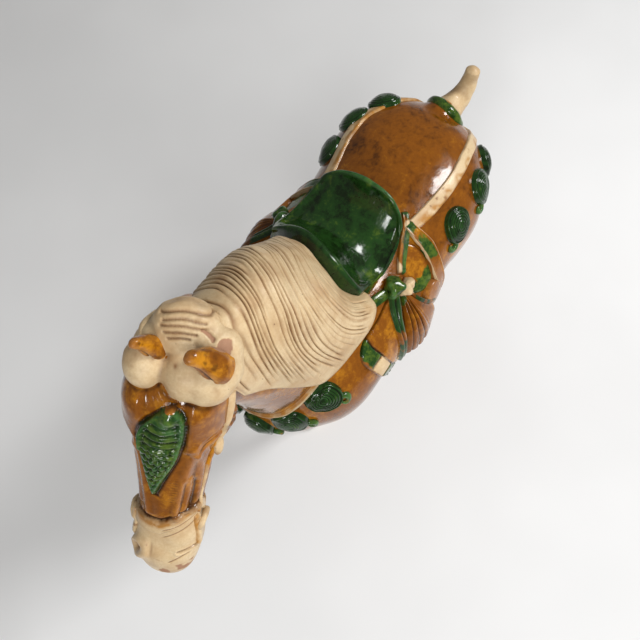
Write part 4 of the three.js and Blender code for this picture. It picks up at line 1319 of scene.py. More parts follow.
def fan_form(side, pleats, seed):
    """Pleated fan of cloth that spreads down from the knot."""
    v = np.linspace(0, 1, FAN_GRID[0])
    left = spline(FAN_LEFT, v * (len(FAN_LEFT) - 1))
    right = spline(FAN_RIGHT, v * (len(FAN_RIGHT) - 1))
    u = np.linspace(0, 1, FAN_GRID[1])
    spots = left[:, None] * (1 - u[None, :, None]) + right[:, None] * u[None, :, None]
    bulge = np.sin(np.pi * u)[None] * v[:, None]
    spots = on_side(spots + np.array([0, 4, -6.0]) * bulge[..., None], side)
    u, v = u[None], v[:, None]
    fold = 0.2 + u * pleats / PLEATED + 0.06 * lumps(spots, 12, seed + 4)
    near = np.mod(fold, 1) - 0.5
    pitch = np.linalg.norm(left - right, axis=1)[:, None] / pleats * PLEATED
    crease = hill((np.abs(near) - 0.5) * pitch, 0.55) * smooth(0.06, 0.2, v) * smooth(1.0, 0.8, v)
    crease = crease * (u > 0.05) * smooth(0.6, 0.5, u)
    half_way = np.abs(np.mod(fold + 0.5, 1) - 0.5) - 0.5
    second = hill(half_way * pitch, 0.35) * smooth(0.5, 0.75, v)
    second = second * smooth(0.5, 0.4, u) * smooth(1.0, 0.9, v) * (u > 0.08)
    lift = 2.8 + 7.2 * v**0.8 * np.sin(np.pi * np.clip(u * 0.82 + 0.1, 0, 1))
    lift = lift + 0.7 * np.cos(near * np.pi) * smooth(0.7, 0.5, u) - 1.0 * crease - 0.35 * second
    lift = lift + 0.35 * lumps(spots, 9, seed)
    edge = np.minimum.reduce([u * 26 + 0 * v, (1 - u) * 26 + 0 * v, (1 - v) * 30 + 0 * u])
    lift = lift * np.sqrt(smooth(-0.5, 3, edge))
    under = spots[:, ::UNDERSIDE_STEP]
    below = lay(under, np.full(under.shape[:2], -2.5))
    points, faces = skin(np.concatenate([lay(spots, lift), below], axis=1))

    def whole(value):
        spare = np.zeros(under.shape[:2])
        return np.r_[np.concatenate([value + 0 * u * v, spare], 1).ravel(), 0, 0]

    green = 3.4 - 22 * v - 9 * u + 2.4 * lumps(spots, 6, 5)
    thin = 0.3 * smooth(0.8, 1, v) + 0.2 * smooth(0.6, 0.9, u) * lumps(spots, 8, 9) - 0.2
    values = {
        "pool": whole(0.7 * crease + 0.35 * second),
        "deep": whole(0.25 + 0.3 * lumps(spots, 12, 8)),
        "thin": whole(thin),
        "green": whole(green + 6) - 6,
    }
    return points, faces, values


def to_side(place, side):
    """A place on the left side, or one as far off the body on the right side."""
    if side > 0:
        return np.array(place, float)
    here, out = nearest(np.array([place], float), "body")
    there, away = nearest(on_side([place], -1), "body")
    return there[0] + away[0] * np.dot(np.array(place) - here[0], out[0])


def loop_forms(side):
    """Cloth within the looped band, the band, the flap with its fold, and the hem."""
    points, faces, _, inside = patch(on_side(POCKET, side), 1.4)
    low = 5 - 0.9 * (points[:, 2] - 216) + 2 * lumps(points, 6, 2)
    forms = [(points, faces, {"green": low, "pool": 0.5 * smooth(3, 0, inside)})]
    widths, shape = [3.6, 4.6, 5.2, 5.6, 5.2, 4.5], band_profile(3.2, 1.1)
    points, faces, edge, run = strip(on_side(LOOP_BAND, side), widths, shape)
    rim = hill(np.abs(edge) - 0.86, 0.14)
    forms.append((points, faces, {
        "green": 2.4 + 3.6 * lumps(points, 9, 6) - 7 * rim - 0.72 * np.clip(run - 26, 0, 40),
        "cream": -4 + 6.4 * rim + 2.0 * lumps(points, 6, 7),
        "stain": 0.4 * rim,
        "thin": 0.5 * smooth(24, 36, run),
    }))
    points, faces, _, _ = patch(on_side(FLAP, side), 4.4)
    forms.append((points, faces, {"thin": 0.55, "deep": 0.2}))
    widths, shape = [1.5, 1.9, 1.8, 1.3], band_profile(4.2)
    points, faces, _, _ = strip(on_side(FLAP_LINE, side), widths, shape)
    forms.append((points, faces, {"green": 1 + 3 * lumps(points, 4, 8), "pool": 0.5}))
    widths, shape = [2.0, 3.0, 3.0, 2.6], band_profile(2.6, 0.6)
    points, faces, edge, run = strip(on_side(SADDLE_EDGE, side), widths, shape)
    forms.append((points, faces, {
        "green": 1.0 + 3.4 * lumps(points, 6, 9) - 0.16 * run * smooth(0, 0.3, edge),
        "cream": -1.5 + 3 * lumps(points, 5, 10),
        "thin": 0.45 * smooth(10, 25, run),
        "pool": 0.9 * hill(edge - 0.1, 0.2),
    }))
    return forms


def from_front(places):
    """Distance back from the front edge of the blanket, and height."""
    x, z = places[..., 0], places[..., 2]
    return np.interp(z, BLANKET_HEIGHTS, BLANKET_FRONT) - x, z


def quilt(places):
    """Relief of the blanket: stitched lines, and a fringe at its lower edge."""
    back, z = from_front(places)
    across = hill(z - QUILT_HIGH, 0.6) + hill(z - QUILT_LOW, 0.6)
    rows = hill(back - BORDER, 0.6) + across * smooth(12, BORDER, back)
    tassels = np.cos(TURN * (places[..., 0] + 0.3 * z) / 3.4) * smooth(FRINGE, 195, z)
    return -0.8 * rows + 0.6 * tassels


def blanket_form(side):
    """Corner of the quilted blanket on the shoulder, with a cream block and a fringe."""
    points, faces, spots, inside = patch(on_side(BLANKET, side), 2.8, quilt, BLANKET_GRID)
    back, z = from_front(spots)
    band = np.minimum(back - 1.2, BORDER - back)
    block = np.minimum(z - QUILT_LOW, QUILT_HIGH - z)
    cream = np.maximum(np.minimum(band, block), np.minimum(197 - z, 1.5))
    stripes = np.minimum(FRINGE - z, 2.6 * np.cos(TURN * back / 9))
    green = np.maximum(np.minimum(band, -block), stripes)
    return points, faces, {
        "cream": cream + 0.8 * lumps(points, 4, 2),
        "green": green + 0.8 * lumps(points, 3, 3),
        "pool": 0.8 * hill(back - BORDER, 0.7) + 0.6 * smooth(2.0, 0.4, inside),
        "thin": 0.5 * hill(back - 0.8, 0.9),
    }


def sash_height(across):
    return 5.2 - 1.4 * hill(across - 0.1, 0.25) - 0.8 * across**2


def sash_forms(side):
    """Sash down the front of the fan, and the tie that comes from under the saddle."""
    widths = [3.4, 3.4, 3.0, 2.8, 2.8, 3.4]
    points, faces, edge, run = strip(on_side(SASH, side), widths, sash_height)
    green = 2.2 + 2.6 * lumps(points, 8, 4) - 2.5 * smooth(8, 30, run) + 2 * smooth(28, 40, run)
    forms = [(points, faces, {
        "green": green,
        "pool": 0.8 * hill(edge - 0.1, 0.22),
        "thin": 0.3 * smooth(5, 25, run),
        "deep": 0.5,
    })]
    widths, shape = [2.0, 3.6, 3.6, 3.0], band_profile(3.0, 0.3)
    points, faces, _, _ = strip(on_side(FRONT_TIE, side), widths, shape)
    forms.append((points, faces, {"green": 3.5 + 2 * lumps(points, 4, 4)}))
    return forms


def knot_form(place, size, side, cream):
    """One lumpy ball of the knot, green, or cream with brown in its dips."""
    points, faces = skin(ball_form(to_side(place, side), np.eye(3), size, KNOB_ROWS))
    bumps = 1.7 * lumps(points, 4.5, 3) + (0.7 * lumps(points, 2, 5) if cream else 0)
    points = raised(points, faces, bumps)
    if cream:
        stain = 0.5 * smooth(0.2, 0.9, lumps(points, 3, 2))
        return points, faces, {"cream": 3 + 2 * bumps, "stain": stain}
    return points, faces, {"green": 3 + 2 * bumps, "thin": 0.8 * smooth(0.2, 0.9, bumps)}


def cloth_side(side, pleats):
    """Loop, blanket corner, fan, sash and knot on one side of the saddle."""
    forms = loop_forms(side) + [blanket_form(side), fan_form(side, pleats, 3)] + sash_forms(side)
    forms.append(knot_form(*KNOT_ABOVE, side, cream=False))
    forms.append(knot_form(*KNOT_BELOW, side, cream=side > 0))
    return forms


def cloth_piece(material, pleats):
    return piece("saddle_cloth", *gather(cloth_side(1, pleats) + cloth_side(-1, pleats)), material)


# Tail and plinth


TAIL_STEP = 0.35


def tail_piece(material):
    """Tail with faint crossed lines at its root, brown at its tip, and the ring around it."""
    line = even(TAIL_PATH[2:], TAIL_STEP)
    place = np.linspace(0, 1, len(line))
    radii = stretched(TAIL_RADII, len(line))
    left_over = (len(line) - 0.6 - np.arange(len(line))) * TAIL_STEP
    close = np.sqrt(np.clip(left_over / 2.6, 0.02, 1))
    grid = tube(line, radii * close, TAIL_AROUND)
    points, faces = skin(grid)
    angle = np.tile(np.arange(TAIL_AROUND) / TAIL_AROUND, (len(line), 1))
    along = place[:, None] + 0 * angle
    cross = np.mod(along * 15 + 2.5 * angle + 0.4 * lumps(grid, 6, 2), 1) - 0.5
    groove = hill(cross, 0.12) * smooth(0.02, 0.1, along) * smooth(0.6, 0.35, along)
    groove = groove * smooth(0.0, 0.5, lumps(grid, 9, 7))
    flat = np.r_[groove.ravel(), 0, 0]
    points = raised(points, faces, 0.55 * lumps(points, 6, 5) - 0.4 * flat)
    tip = np.r_[along.ravel(), 0, 1]
    stain = 0.6 * flat + 0.25 * tip**3 + 0.5 * smooth(0.1, 0.8, lumps(points, 5, 8))
    values = {
        "cream": 4,
        "stain": np.clip(stain, 0, 1),
        "green": 2.0 - 60 * tip + 1.5 * lumps(points, 4, 3),
    }
    forms = [(points, faces, values)]
    centre = np.array(TAIL_PATH[2], float) + [3.0, 0, -0.5]
    ahead = unit(np.array(TAIL_PATH[3], float) - TAIL_PATH[1])
    side = unit(np.cross(ahead, UP))
    top = np.cross(side, ahead)
    a = np.linspace(0, TURN, 120)
    ring = centre + (side * np.cos(a)[:, None] + top * np.sin(a)[:, None]) * TAIL_RING_RADIUS
    points, faces = skin(tube(ring, TAIL_RING_THICKNESS, RING_AROUND))
    points = raised(points, faces, 0.35 * lumps(points, 4, 4))
    forms.append((points, faces, {"green": 3.5 + 2.0 * lumps(points, 7, 3)}))
    return piece("tail", *gather(forms), material)


# Plinth: where it ends behind and in front, half its width, its height and its rounded edge
PLINTH = {"back": -112, "front": 84, "half": 33, "height": 11, "edge": 2}
PLINTH_POWER = 9


def plinth_piece(material):
    """Low slab with rounded edges and a hand-made surface, bare below the drips of glaze."""
    middle = (PLINTH["back"] + PLINTH["front"]) / 2
    half_x, half_y = (PLINTH["front"] - PLINTH["back"]) / 2, PLINTH["half"]

    def loop(inset, z):
        x, y = half_x - inset, half_y - inset
        across, along = outline(angles(PLINTH_AROUND), PLINTH_POWER)
        shape = np.stack([across * x, along * y], 1)
        shape = np.sign(shape) * np.minimum(np.abs(shape), [x, y])
        return np.stack([middle + shape[:, 0], shape[:, 1], np.full(PLINTH_AROUND, z)], 1)

    bevel = np.linspace(0, np.pi / 2, 8)
    e, top = PLINTH["edge"], PLINTH["height"]
    rows = [loop(inset, 0) for inset in np.linspace(half_y - 2, 1.5, 12)]
    rows += [loop(0.6, 0.3), loop(0.2, 1)] + [loop(0, z) for z in np.linspace(1.6, top - e, 12)]
    rows += [loop(e * (1 - math.cos(b)), top - e + e * math.sin(b)) for b in bevel[1:]]
    rows += [loop(inset, top) for inset in np.linspace(e + 0.8, half_y - 2, 30)]
    points, faces = skin(np.array(rows))
    uneven = 0.35 * lumps(points, 16, 3) + 0.15 * lumps(points, 5, 4)
    points = raised(points, faces, smooth(1, 4, points[:, 2]) * uneven)
    x, y, z = points.T
    side = smooth(top, top - 4, z)
    drip = 7 + 5 * lumps(np.stack([x, y, 0 * z], 1), 10, 6) - (top - z)
    return piece("plinth", points, faces, {
        "cream": np.where(z > 0.5, 3.5 + 3 * lumps(points, 20, 2), -6),
        "green": 4.5 * lumps(points, 22, 11) - 2.2 - 3 * side,
        "bare": np.where(z > 0.4, -drip, 4),
        "stain": 0.5 * smooth(0.3, 0.9, lumps(points, 9, 5)),
    }, material)


# Glazes


def tone(code):
    """Colour in Blender's scale from six hexadecimal digits."""
    parts = [int(code[i : i + 2], 16) / 255 for i in (0, 2, 4)]
    return tuple(p / 12.92 if p < 0.04045 else ((p + 0.055) / 1.055) ** 2.4 for p in parts) + (1.0,)


class Nodes:
    """Places shader nodes in a tree and links them."""

    def __init__(self, tree):
        self.tree = tree

    def put(self, socket, value):
        if isinstance(value, bpy.types.NodeSocket):
            self.tree.links.new(value, socket)
        else:
            socket.default_value = value

    def add(self, kind, settings=None, inputs=None):
        node = self.tree.nodes.new("ShaderNode" + kind)
        for key, value in (settings or {}).items():
            setattr(node, key, value)
        for key, value in (inputs or {}).items():
            self.put(node.inputs[key], value)
        return node

    def math(self, operation, a, b=0.0):
        return self.add("Math", {"operation": operation}, {0: a, 1: b}).outputs[0]

    def plus(self, a, b):
        return self.math("ADD", a, b)

    def times(self, a, b):
        return self.math("MULTIPLY", a, b)

    def mix(self, share, a, b):
        return self.add("Mix", {"data_type": "RGBA"}, {0: share, 6: a, 7: b}).outputs[2]

    def blend(self, share, a, b):
        return self.add("Mix", {"data_type": "FLOAT"}, {0: share, 2: a, 3: b}).outputs[0]

    def step(self, value, low, high, start=0.0, end=1.0):
        inputs = {0: value, 1: low, 2: high, 3: start, 4: end}
        return self.add("MapRange", {"interpolation_type": "SMOOTHSTEP"}, inputs).outputs[0]

    def place(self):
        return self.add("TexCoord").outputs["Object"]

    def noise(self, scale, detail=3.0, rough=0.55, distort=0.0):
        inputs = {"Scale": scale, "Detail": detail, "Roughness": rough, "Distortion": distort}
        return self.add("TexNoise", None, {"Vector": self.place(), **inputs}).outputs[0]

    def value(self, name):
        return self.add("Attribute", {"attribute_name": name}).outputs["Fac"]


def effect(name, inputs, outputs):
    """Empty shader node group with named sockets: its nodes, what it is given and gives out."""
    tree = bpy.data.node_groups.new(name, "ShaderNodeTree")
    for key, default in inputs.items():
        kind = "NodeSocketColor" if isinstance(default, tuple) else "NodeSocketFloat"
        socket = tree.interface.new_socket(name=key, in_out="INPUT", socket_type=kind)
        socket.default_value = default
    for key in outputs:
        kind = "NodeSocketColor" if key == "Color" else "NodeSocketFloat"
        tree.interface.new_socket(name=key, in_out="OUTPUT", socket_type=kind)
    given, out = tree.nodes.new("NodeGroupInput"), tree.nodes.new("NodeGroupOutput")
    return Nodes(tree), given.outputs, out.inputs


def ragged_area():
    """Turns millimetres inside an area into a share of it, with the edge where wet glaze ran."""
    n, given, out = effect("ragged area", {"Inside": 0.0, "Run": 1.0, "Soft": 0.5}, ["Share"])
    run = n.math("SUBTRACT", n.noise(210, 4.0, 0.6), 0.5)
    run = n.times(run, n.times(given["Run"], 5.0))
    inside = n.plus(given["Inside"], run)
    share = n.step(n.math("DIVIDE", inside, given["Soft"]), -1.0, 1.0)
    n.put(out["Share"], share)
    return n.tree


def glaze_colour():
    """Clear coloured glaze: lighter where thin, darker where pooled or deep, and in painted shade.
    """
    inputs = {
        "Light": tone("c08a3c"), "Middle": tone("8a5420"), "Dark": tone("452410"),
        "Worn": tone("a8745a"), "Cloud Scale": 60.0, "Speck Scale": 420.0, "Thickness": 0.0,
        "Grain": 1.9,
    }
    n, given, out = effect("glaze colour", inputs, ["Color", "Cloud"])
    cloud = n.noise(given["Cloud Scale"], 6.0, 0.62, 0.6)
    speck = n.noise(given["Speck Scale"], 3.0, 0.7)
    deep, pool, thin = n.value("deep"), n.value("pool"), n.value("thin")
    grain = n.math("SUBTRACT", n.noise(250, 6.0, 0.7, 0.4), 0.5)
    depth = n.plus(n.step(cloud, 0.3, 0.74, 0.0, 0.8), n.times(deep, 0.7))
    depth = n.plus(depth, given["Thickness"])
    depth = n.plus(depth, n.times(grain, given["Grain"]))
    depth = n.plus(depth, n.times(n.math("SUBTRACT", speck, 0.5), 0.5))
    colour = n.mix(n.step(depth, -0.2, 0.85), given["Light"], given["Middle"])
    # Dark where glaze pooled, and where the same value carries painted shade
    dark = n.math("MAXIMUM", n.step(depth, 0.8, 1.9, 0.0, 0.85), n.times(pool, 0.92))
    dark = n.math("MAXIMUM", dark, n.step(speck, 0.66, 0.74, 0.0, 0.45))
    colour = n.mix(dark, colour, given["Dark"])
    worn = n.times(thin, n.step(n.noise(300, 3.0), 0.3, 0.6, 0.35, 1.0))
    colour = n.mix(n.times(worn, 0.6), colour, given["Worn"])
    n.put(out["Color"], colour)
    n.put(out["Cloud"], depth)
    return n.tree


def stained_slip():
    """Pale slip with brown rubbed into its grooves, faint patches and small pits."""
    inputs = {
        "Pale": tone("ecd8b4"), "Warm": tone("dcbf90"), "Stain": tone("93683c"), "Strength": 1.0,
    }
    n, given, out = effect("stained slip", inputs, ["Color", "Pits"])
    patches = n.step(n.noise(55, 5.0, 0.65), 0.38, 0.7)
    colour = n.mix(patches, given["Pale"], given["Warm"])
    grain = n.step(n.noise(800, 4.0, 0.75), 0.35, 0.7, 0.0, 0.5)
    colour = n.mix(grain, colour, given["Warm"])
    yellow = n.times(n.value("deep"), n.step(n.noise(160, 4.0), 0.3, 0.62))
    colour = n.mix(yellow, colour, tone("a8742e"))
    stain = n.times(n.value("stain"), given["Strength"])
    uneven = n.step(n.noise(240, 4.0, 0.6), 0.25, 0.6, 0.55, 1.0)
    colour = n.mix(n.times(stain, uneven), colour, given["Stain"])
    pits = n.step(n.noise(480, 2.0, 0.5), 0.73, 0.78)
    pits = n.times(pits, n.step(n.noise(60, 2.0), 0.45, 0.6))
    colour = n.mix(n.times(pits, 0.7), colour, tone("5a3c22"))
    # Darker brown where slip gathered in hollows, and painted shade low on the forelock's locks
    pool = n.times(n.value("pool"), 0.55)
    colour = n.mix(pool, colour, tone("6b4a2c"))
    n.put(out["Color"], colour)
    n.put(out["Pits"], pits)
    return n.tree


def hand_surface():
    """Height of the fired surface: slow unevenness, fine orange peel and crackle."""
    n, given, out = effect("hand surface", {"Coarse": 1.0, "Fine": 1.0}, ["Height", "Crackle"])
    slow = n.times(n.noise(95, 2.0), given["Coarse"])
    peel = n.times(n.noise(700, 3.0, 0.6), given["Fine"])
    inputs = {"Vector": n.place(), "Scale": 520.0}
    cells = n.add("TexVoronoi", {"feature": "DISTANCE_TO_EDGE"}, inputs).outputs["Distance"]
    crackle = n.step(cells, 0.0, 0.05, 1.0, 0.0)
    height = n.plus(n.times(slow, 0.9), n.times(peel, 0.22))
    n.put(out["Height"], height)
    n.put(out["Crackle"], crackle)
    return n.tree


# Node groups and materials that are already made, by their maker or name
MADE = {}


def group(n, maker, inputs):
    """A node group placed among the nodes of a material."""
    if maker not in MADE:
        MADE[maker] = maker()
    node = n.tree.nodes.new("ShaderNodeGroup")
    node.node_tree = MADE[maker]
    for key, value in inputs.items():
        n.put(node.inputs[key], value)
    return node.outputs


def material_of(name, maker, **values):
    """Material whose nodes the maker places."""
    if name not in MADE:
        made = bpy.data.materials.new(name)
        made.use_nodes = True
        made.node_tree.nodes.clear()
        n = Nodes(made.node_tree)
        shader = n.add("BsdfPrincipled")
        n.add("OutputMaterial", None, {"Surface": shader.outputs[0]})
        maker(n, shader, **values)
        MADE[name] = made
    return MADE[name]


GLAZE_TONES, SLIP_TONES = ("Light", "Middle", "Dark", "Worn"), ("Pale", "Warm", "Stain")
# How far each area's edge runs, and how soft it is
EDGES = {"green": (0.9, 0.55), "cream": (0.6, 0.5), "bare": (0.7, 0.3)}
GLAZE_GLOSS, CREAM_ROUGHNESS, CLAY_ROUGHNESS = 0.08, 0.34, 0.78
GLAZE_SHINE = {"Coat Roughness": 0.05, "IOR": 1.5, "Specular IOR Level": 0.28}


def three_colour(n, shader, amber, green, cream, clay, cloud=60.0, thick=0.0, dry=0.0):
    """Amber, green and cream lead glazes that meet in ragged edges, and bare clay between."""
    tones = dict(zip(GLAZE_TONES, amber))
    settings = {"Cloud Scale": cloud, "Thickness": thick}
    amber_tone = group(n, glaze_colour, {**tones, **settings})
    tones = dict(zip(GLAZE_TONES, green))
    settings = {"Cloud Scale": cloud * 1.5, "Speck Scale": 560.0, "Thickness": 0.1, "Grain": 2.8}
    green_tone = group(n, glaze_colour, {**tones, **settings})
    cream_tone = group(n, stained_slip, dict(zip(SLIP_TONES, cream)))
    areas = {}
    for key, (run, soft) in EDGES.items():
        inputs = {"Inside": n.value(key), "Run": run, "Soft": soft}
        areas[key] = group(n, ragged_area, inputs)["Share"]
    colour = n.mix(areas["cream"], amber_tone["Color"], cream_tone["Color"])
    colour = n.mix(areas["green"], colour, green_tone["Color"])
    clay_colour = n.mix(n.noise(330, 4.0, 0.6), clay[0], clay[1])
    colour = n.mix(areas["bare"], colour, clay_colour)
    surface = group(n, hand_surface, {"Coarse": 1.0, "Fine": 1.0})
    n.put(shader.inputs["Base Color"], colour)
    matt = n.times(areas["cream"], n.math("SUBTRACT", 1.0, areas["green"]))
    rough = n.blend(matt, GLAZE_GLOSS, CREAM_ROUGHNESS + dry)
    rough = n.plus(rough, n.step(n.noise(150, 3.0), 0.4, 0.75, 0.0, 0.06))
    rough = n.plus(rough, n.times(n.value("thin"), 0.12))
    rough = n.blend(areas["bare"], rough, CLAY_ROUGHNESS)
    n.put(shader.inputs["Roughness"], rough)
    coat = n.blend(areas["bare"], n.blend(areas["cream"], 0.25, 0.1 * (1 - dry)), 0.0)
    n.put(shader.inputs["Coat Weight"], coat)
    for key, value in GLAZE_SHINE.items():
        shader.inputs[key].default_value = value
    crack = n.times(surface["Crackle"], -0.05)
    height = n.plus(surface["Height"], crack)
    bump = n.add("Bump", None, {"Strength": 0.3, "Distance": 0.0008, "Height": height})
    n.put(shader.inputs["Normal"], bump.outputs[0])


def dry_slip(n, shader, cream, clay):
    """Matt combed slip of the mane and forelock, with brown left in its grooves."""
    combed = group(n, stained_slip, dict(zip(SLIP_TONES, cream)))
    inputs = {"Inside": n.value("bare"), "Run": 0.7, "Soft": 0.3}
    bare = group(n, ragged_area, inputs)["Share"]
    colour = n.mix(bare, combed["Color"], n.mix(n.noise(330, 4.0, 0.6), clay[0], clay[1]))
    n.put(shader.inputs["Base Color"], colour)
    rough = n.step(n.noise(120, 3.0), 0.3, 0.7, 0.42, 0.6)
    n.put(shader.inputs["Roughness"], n.blend(bare, rough, 0.85))
    surface = group(n, hand_surface, {"Coarse": 0.8, "Fine": 2.2})
    height = n.math("SUBTRACT", surface["Height"], n.times(combed["Pits"], 0.6))
    bump = n.add("Bump", None, {"Strength": 0.45, "Distance": 0.0007, "Height": height})
    n.put(shader.inputs["Normal"], bump.outputs[0])


def pale_floor(n, shader):
    """Plain pale floor with a faint unevenness."""
    soft = n.step(n.noise(3.0, 3.0), 0.3, 0.7)
    n.put(shader.inputs["Base Color"], n.mix(soft, tone("dcdcdc"), tone("e4e4e4")))
    n.put(shader.inputs["Roughness"], n.step(n.noise(9.0, 2.0), 0.3, 0.7, 0.6, 0.72))


# What a user may change


class GlazedHorseSizes(bpy.types.PropertyGroup):
    """Sizes of the finer work."""

    strap_half: bpy.props.FloatProperty(
        name="Strap Half Width", description="Half the width of the harness straps, in millimetres",
        default=4.2, min=2.0, max=6.0)
    medallion_radius: bpy.props.FloatProperty(
        name="Medallion Radius", description="Radius of each medallion, in millimetres",
        default=12.0, min=5.0, max=14.0)
    groove_depth: bpy.props.FloatProperty(
        name="Mane Groove Depth", description="Depth of the combed grooves, in millimetres",
        default=1.1, min=0.2, max=2.0)
    fan_pleats: bpy.props.IntProperty(
        name="Fan Pleats", description="Folds in the fan below each knot", default=4, min=2, max=8)
    clay_step: bpy.props.FloatProperty(
        name="Clay Step", description="Fineness of the joined clay forms",
        default=0.0019, min=0.0012, max=0.006, unit="LENGTH")


def colour_property(name, description, code):
    return bpy.props.FloatVectorProperty(
        name=name, description=description, default=tone(code), size=4, min=0, max=1,
        subtype="COLOR")


class GlazedHorseColours(bpy.types.PropertyGroup):
    """Colours of the glazes and the clay."""

    amber_light: colour_property("Light Amber", "Amber glaze where it is thin", "b87a1a")
    amber: colour_property("Amber", "Amber glaze of usual thickness", "7c470e")
    amber_dark: colour_property("Dark Amber", "Amber glaze where it pooled", "240f05")
    amber_worn: colour_property("Worn Amber", "Clay seen through the amber on ridges", "a06c40")
    green_light: colour_property("Light Green", "Green glaze where it is thin", "4f6420")
    green: colour_property("Green", "Green glaze of usual thickness", "1c3a14")
    green_dark: colour_property("Dark Green", "Green glaze where it pooled", "0a1405")
    green_worn: colour_property("Worn Green", "Pale green on ridges", "426e3c")
    cream: colour_property("Cream", "Cream glaze and slip", "d2bb94")
    cream_warm: colour_property("Warm Cream", "Patches in the cream", "bc9d74")
    stain: colour_property("Stain", "Brown in grooves and along edges", "8c6642")
    clay: colour_property("Clay", "Fired clay without glaze", "b0876a")
    clay_dark: colour_property("Dark Clay", "Darker fired clay", "8f6a52")


def sizes():
    return bpy.context.scene.glazed_horse_sizes


def glaze(name, **values):
    c = bpy.context.scene.glazed_horse_colours
    return material_of(
        name, three_colour,
        amber=[c.amber_light, c.amber, c.amber_dark, c.amber_worn],
        green=[c.green_light, c.green, c.green_dark, c.green_worn],
        cream=[c.cream, c.cream_warm, c.stain], clay=[c.clay, c.clay_dark], **values)


def slip():
    c = bpy.context.scene.glazed_horse_colours
    return material_of("combed_slip", dry_slip, cream=[c.cream, c.cream_warm, c.stain],
                           clay=[c.clay, c.clay_dark])


# Operators


class GLAZEDHORSE_OT_body(bpy.types.Operator):
    """Trunk, neck, legs and dock as one skin"""

    bl_idname = "glazedhorse.body"
    bl_label = "Body and Legs"

    def execute(self, context):
        body_piece(glaze("amber_glaze", cloud=48.0), sizes().clay_step / MM)
        return {"FINISHED"}


class GLAZEDHORSE_OT_head(bpy.types.Operator):
    """Head with plaque, brow, eyes, noseband and muzzle"""

    bl_idname = "glazedhorse.head"
    bl_label = "Head"

    def execute(self, context):
        head_piece(glaze("face_glaze", cloud=80.0, thick=0.25))
        return {"FINISHED"}


class GLAZEDHORSE_OT_ears(bpy.types.Operator):
    """Both ears, short horns with a narrow opening"""

    bl_idname = "glazedhorse.ears"
    bl_label = "Ears"

    def execute(self, context):
        ears_piece(glaze("ear_glaze", cloud=130.0, thick=-0.12))
        return {"FINISHED"}


class GLAZEDHORSE_OT_hair(bpy.types.Operator):
    """Combed mane and parted forelock"""

    bl_idname = "glazedhorse.hair"
    bl_label = "Mane and Forelock"

    def execute(self, context):
        forelock_piece(slip(), FORELOCK_STEP)
        mane_piece(slip(), sizes().groove_depth)
        return {"FINISHED"}


class GLAZEDHORSE_OT_saddle(bpy.types.Operator):
    """Saddle with raised front and back"""

    bl_idname = "glazedhorse.saddle"
    bl_label = "Saddle"

    def execute(self, context):
        saddle_piece(glaze("saddle_glaze", cloud=55.0))
        return {"FINISHED"}


class GLAZEDHORSE_OT_cloth(bpy.types.Operator):
    """Knots, fans, loops and blanket of the saddle cloth"""

    bl_idname = "glazedhorse.cloth"
    bl_label = "Saddle Cloth"

    def execute(self, context):
        cloth_piece(glaze("cloth_glaze", cloud=75.0, thick=0.25), sizes().fan_pleats)
        return {"FINISHED"}


class GLAZEDHORSE_OT_straps(bpy.types.Operator):
    """Crupper, breast, head and cheek straps"""

    bl_idname = "glazedhorse.straps"
    bl_label = "Straps"

    def execute(self, context):
        strap_glaze = glaze("strap_glaze", cloud=70.0)
        straps_piece(strap_glaze, sizes().strap_half)
        cheek_piece(strap_glaze)
        return {"FINISHED"}


class GLAZEDHORSE_OT_medallions(bpy.types.Operator):
    """Medallions with their curled drops"""

    bl_idname = "glazedhorse.medallions"
    bl_label = "Medallions"

    def execute(self, context):
        medallions_piece(glaze("medallion_glaze", cloud=90.0), sizes().medallion_radius)
        return {"FINISHED"}


class GLAZEDHORSE_OT_tail(bpy.types.Operator):
    """Tail and the ring at its root"""

    bl_idname = "glazedhorse.tail"
    bl_label = "Tail"

    def execute(self, context):
        tail_piece(glaze("tail_glaze", cloud=90.0, dry=0.1))
        return {"FINISHED"}


class GLAZEDHORSE_OT_plinth(bpy.types.Operator):
    """Low plinth under the hooves"""

    bl_idname = "glazedhorse.plinth"
    bl_label = "Plinth"

    def execute(self, context):
        plinth_piece(glaze("plinth_glaze", cloud=45.0, dry=0.1))
        return {"FINISHED"}


# Camera at the photograph's viewing angle: place, and its right, up and back directions
CAMERA_PLACE = [123.17, 80.46, 584.27]
CAMERA_RIGHT = [-0.54895, 0.83544, -0.02632]
CAMERA_UP = [-0.80586, -0.52063, 0.28203]
CAMERA_BACK = [0.22192, 0.17603, 0.95904]
FOCAL_PIXELS = 598.56
PHOTO_PIXELS = 640
SENSOR = 36.0
FLOOR_SIZE = 10.0
CLIP_START = 0.01
# Lights: azimuth and height in degrees, distance and size in metres, power in watts
LIGHTS = {
    "window": (147, 44, 1.3, (0.3, 0.44), 12.0),
    "far_window": (18, 40, 1.2, (0.16, 0.22), 3.0),
    "sky": (62, 44, 1.1, (0.9, 0.75), 7.5),
}
LIT_PLACE = (0, 0, 0.2)
ROOM_COLOUR, ROOM_LIGHT = (1.0, 0.98, 0.94, 1.0), 0.2


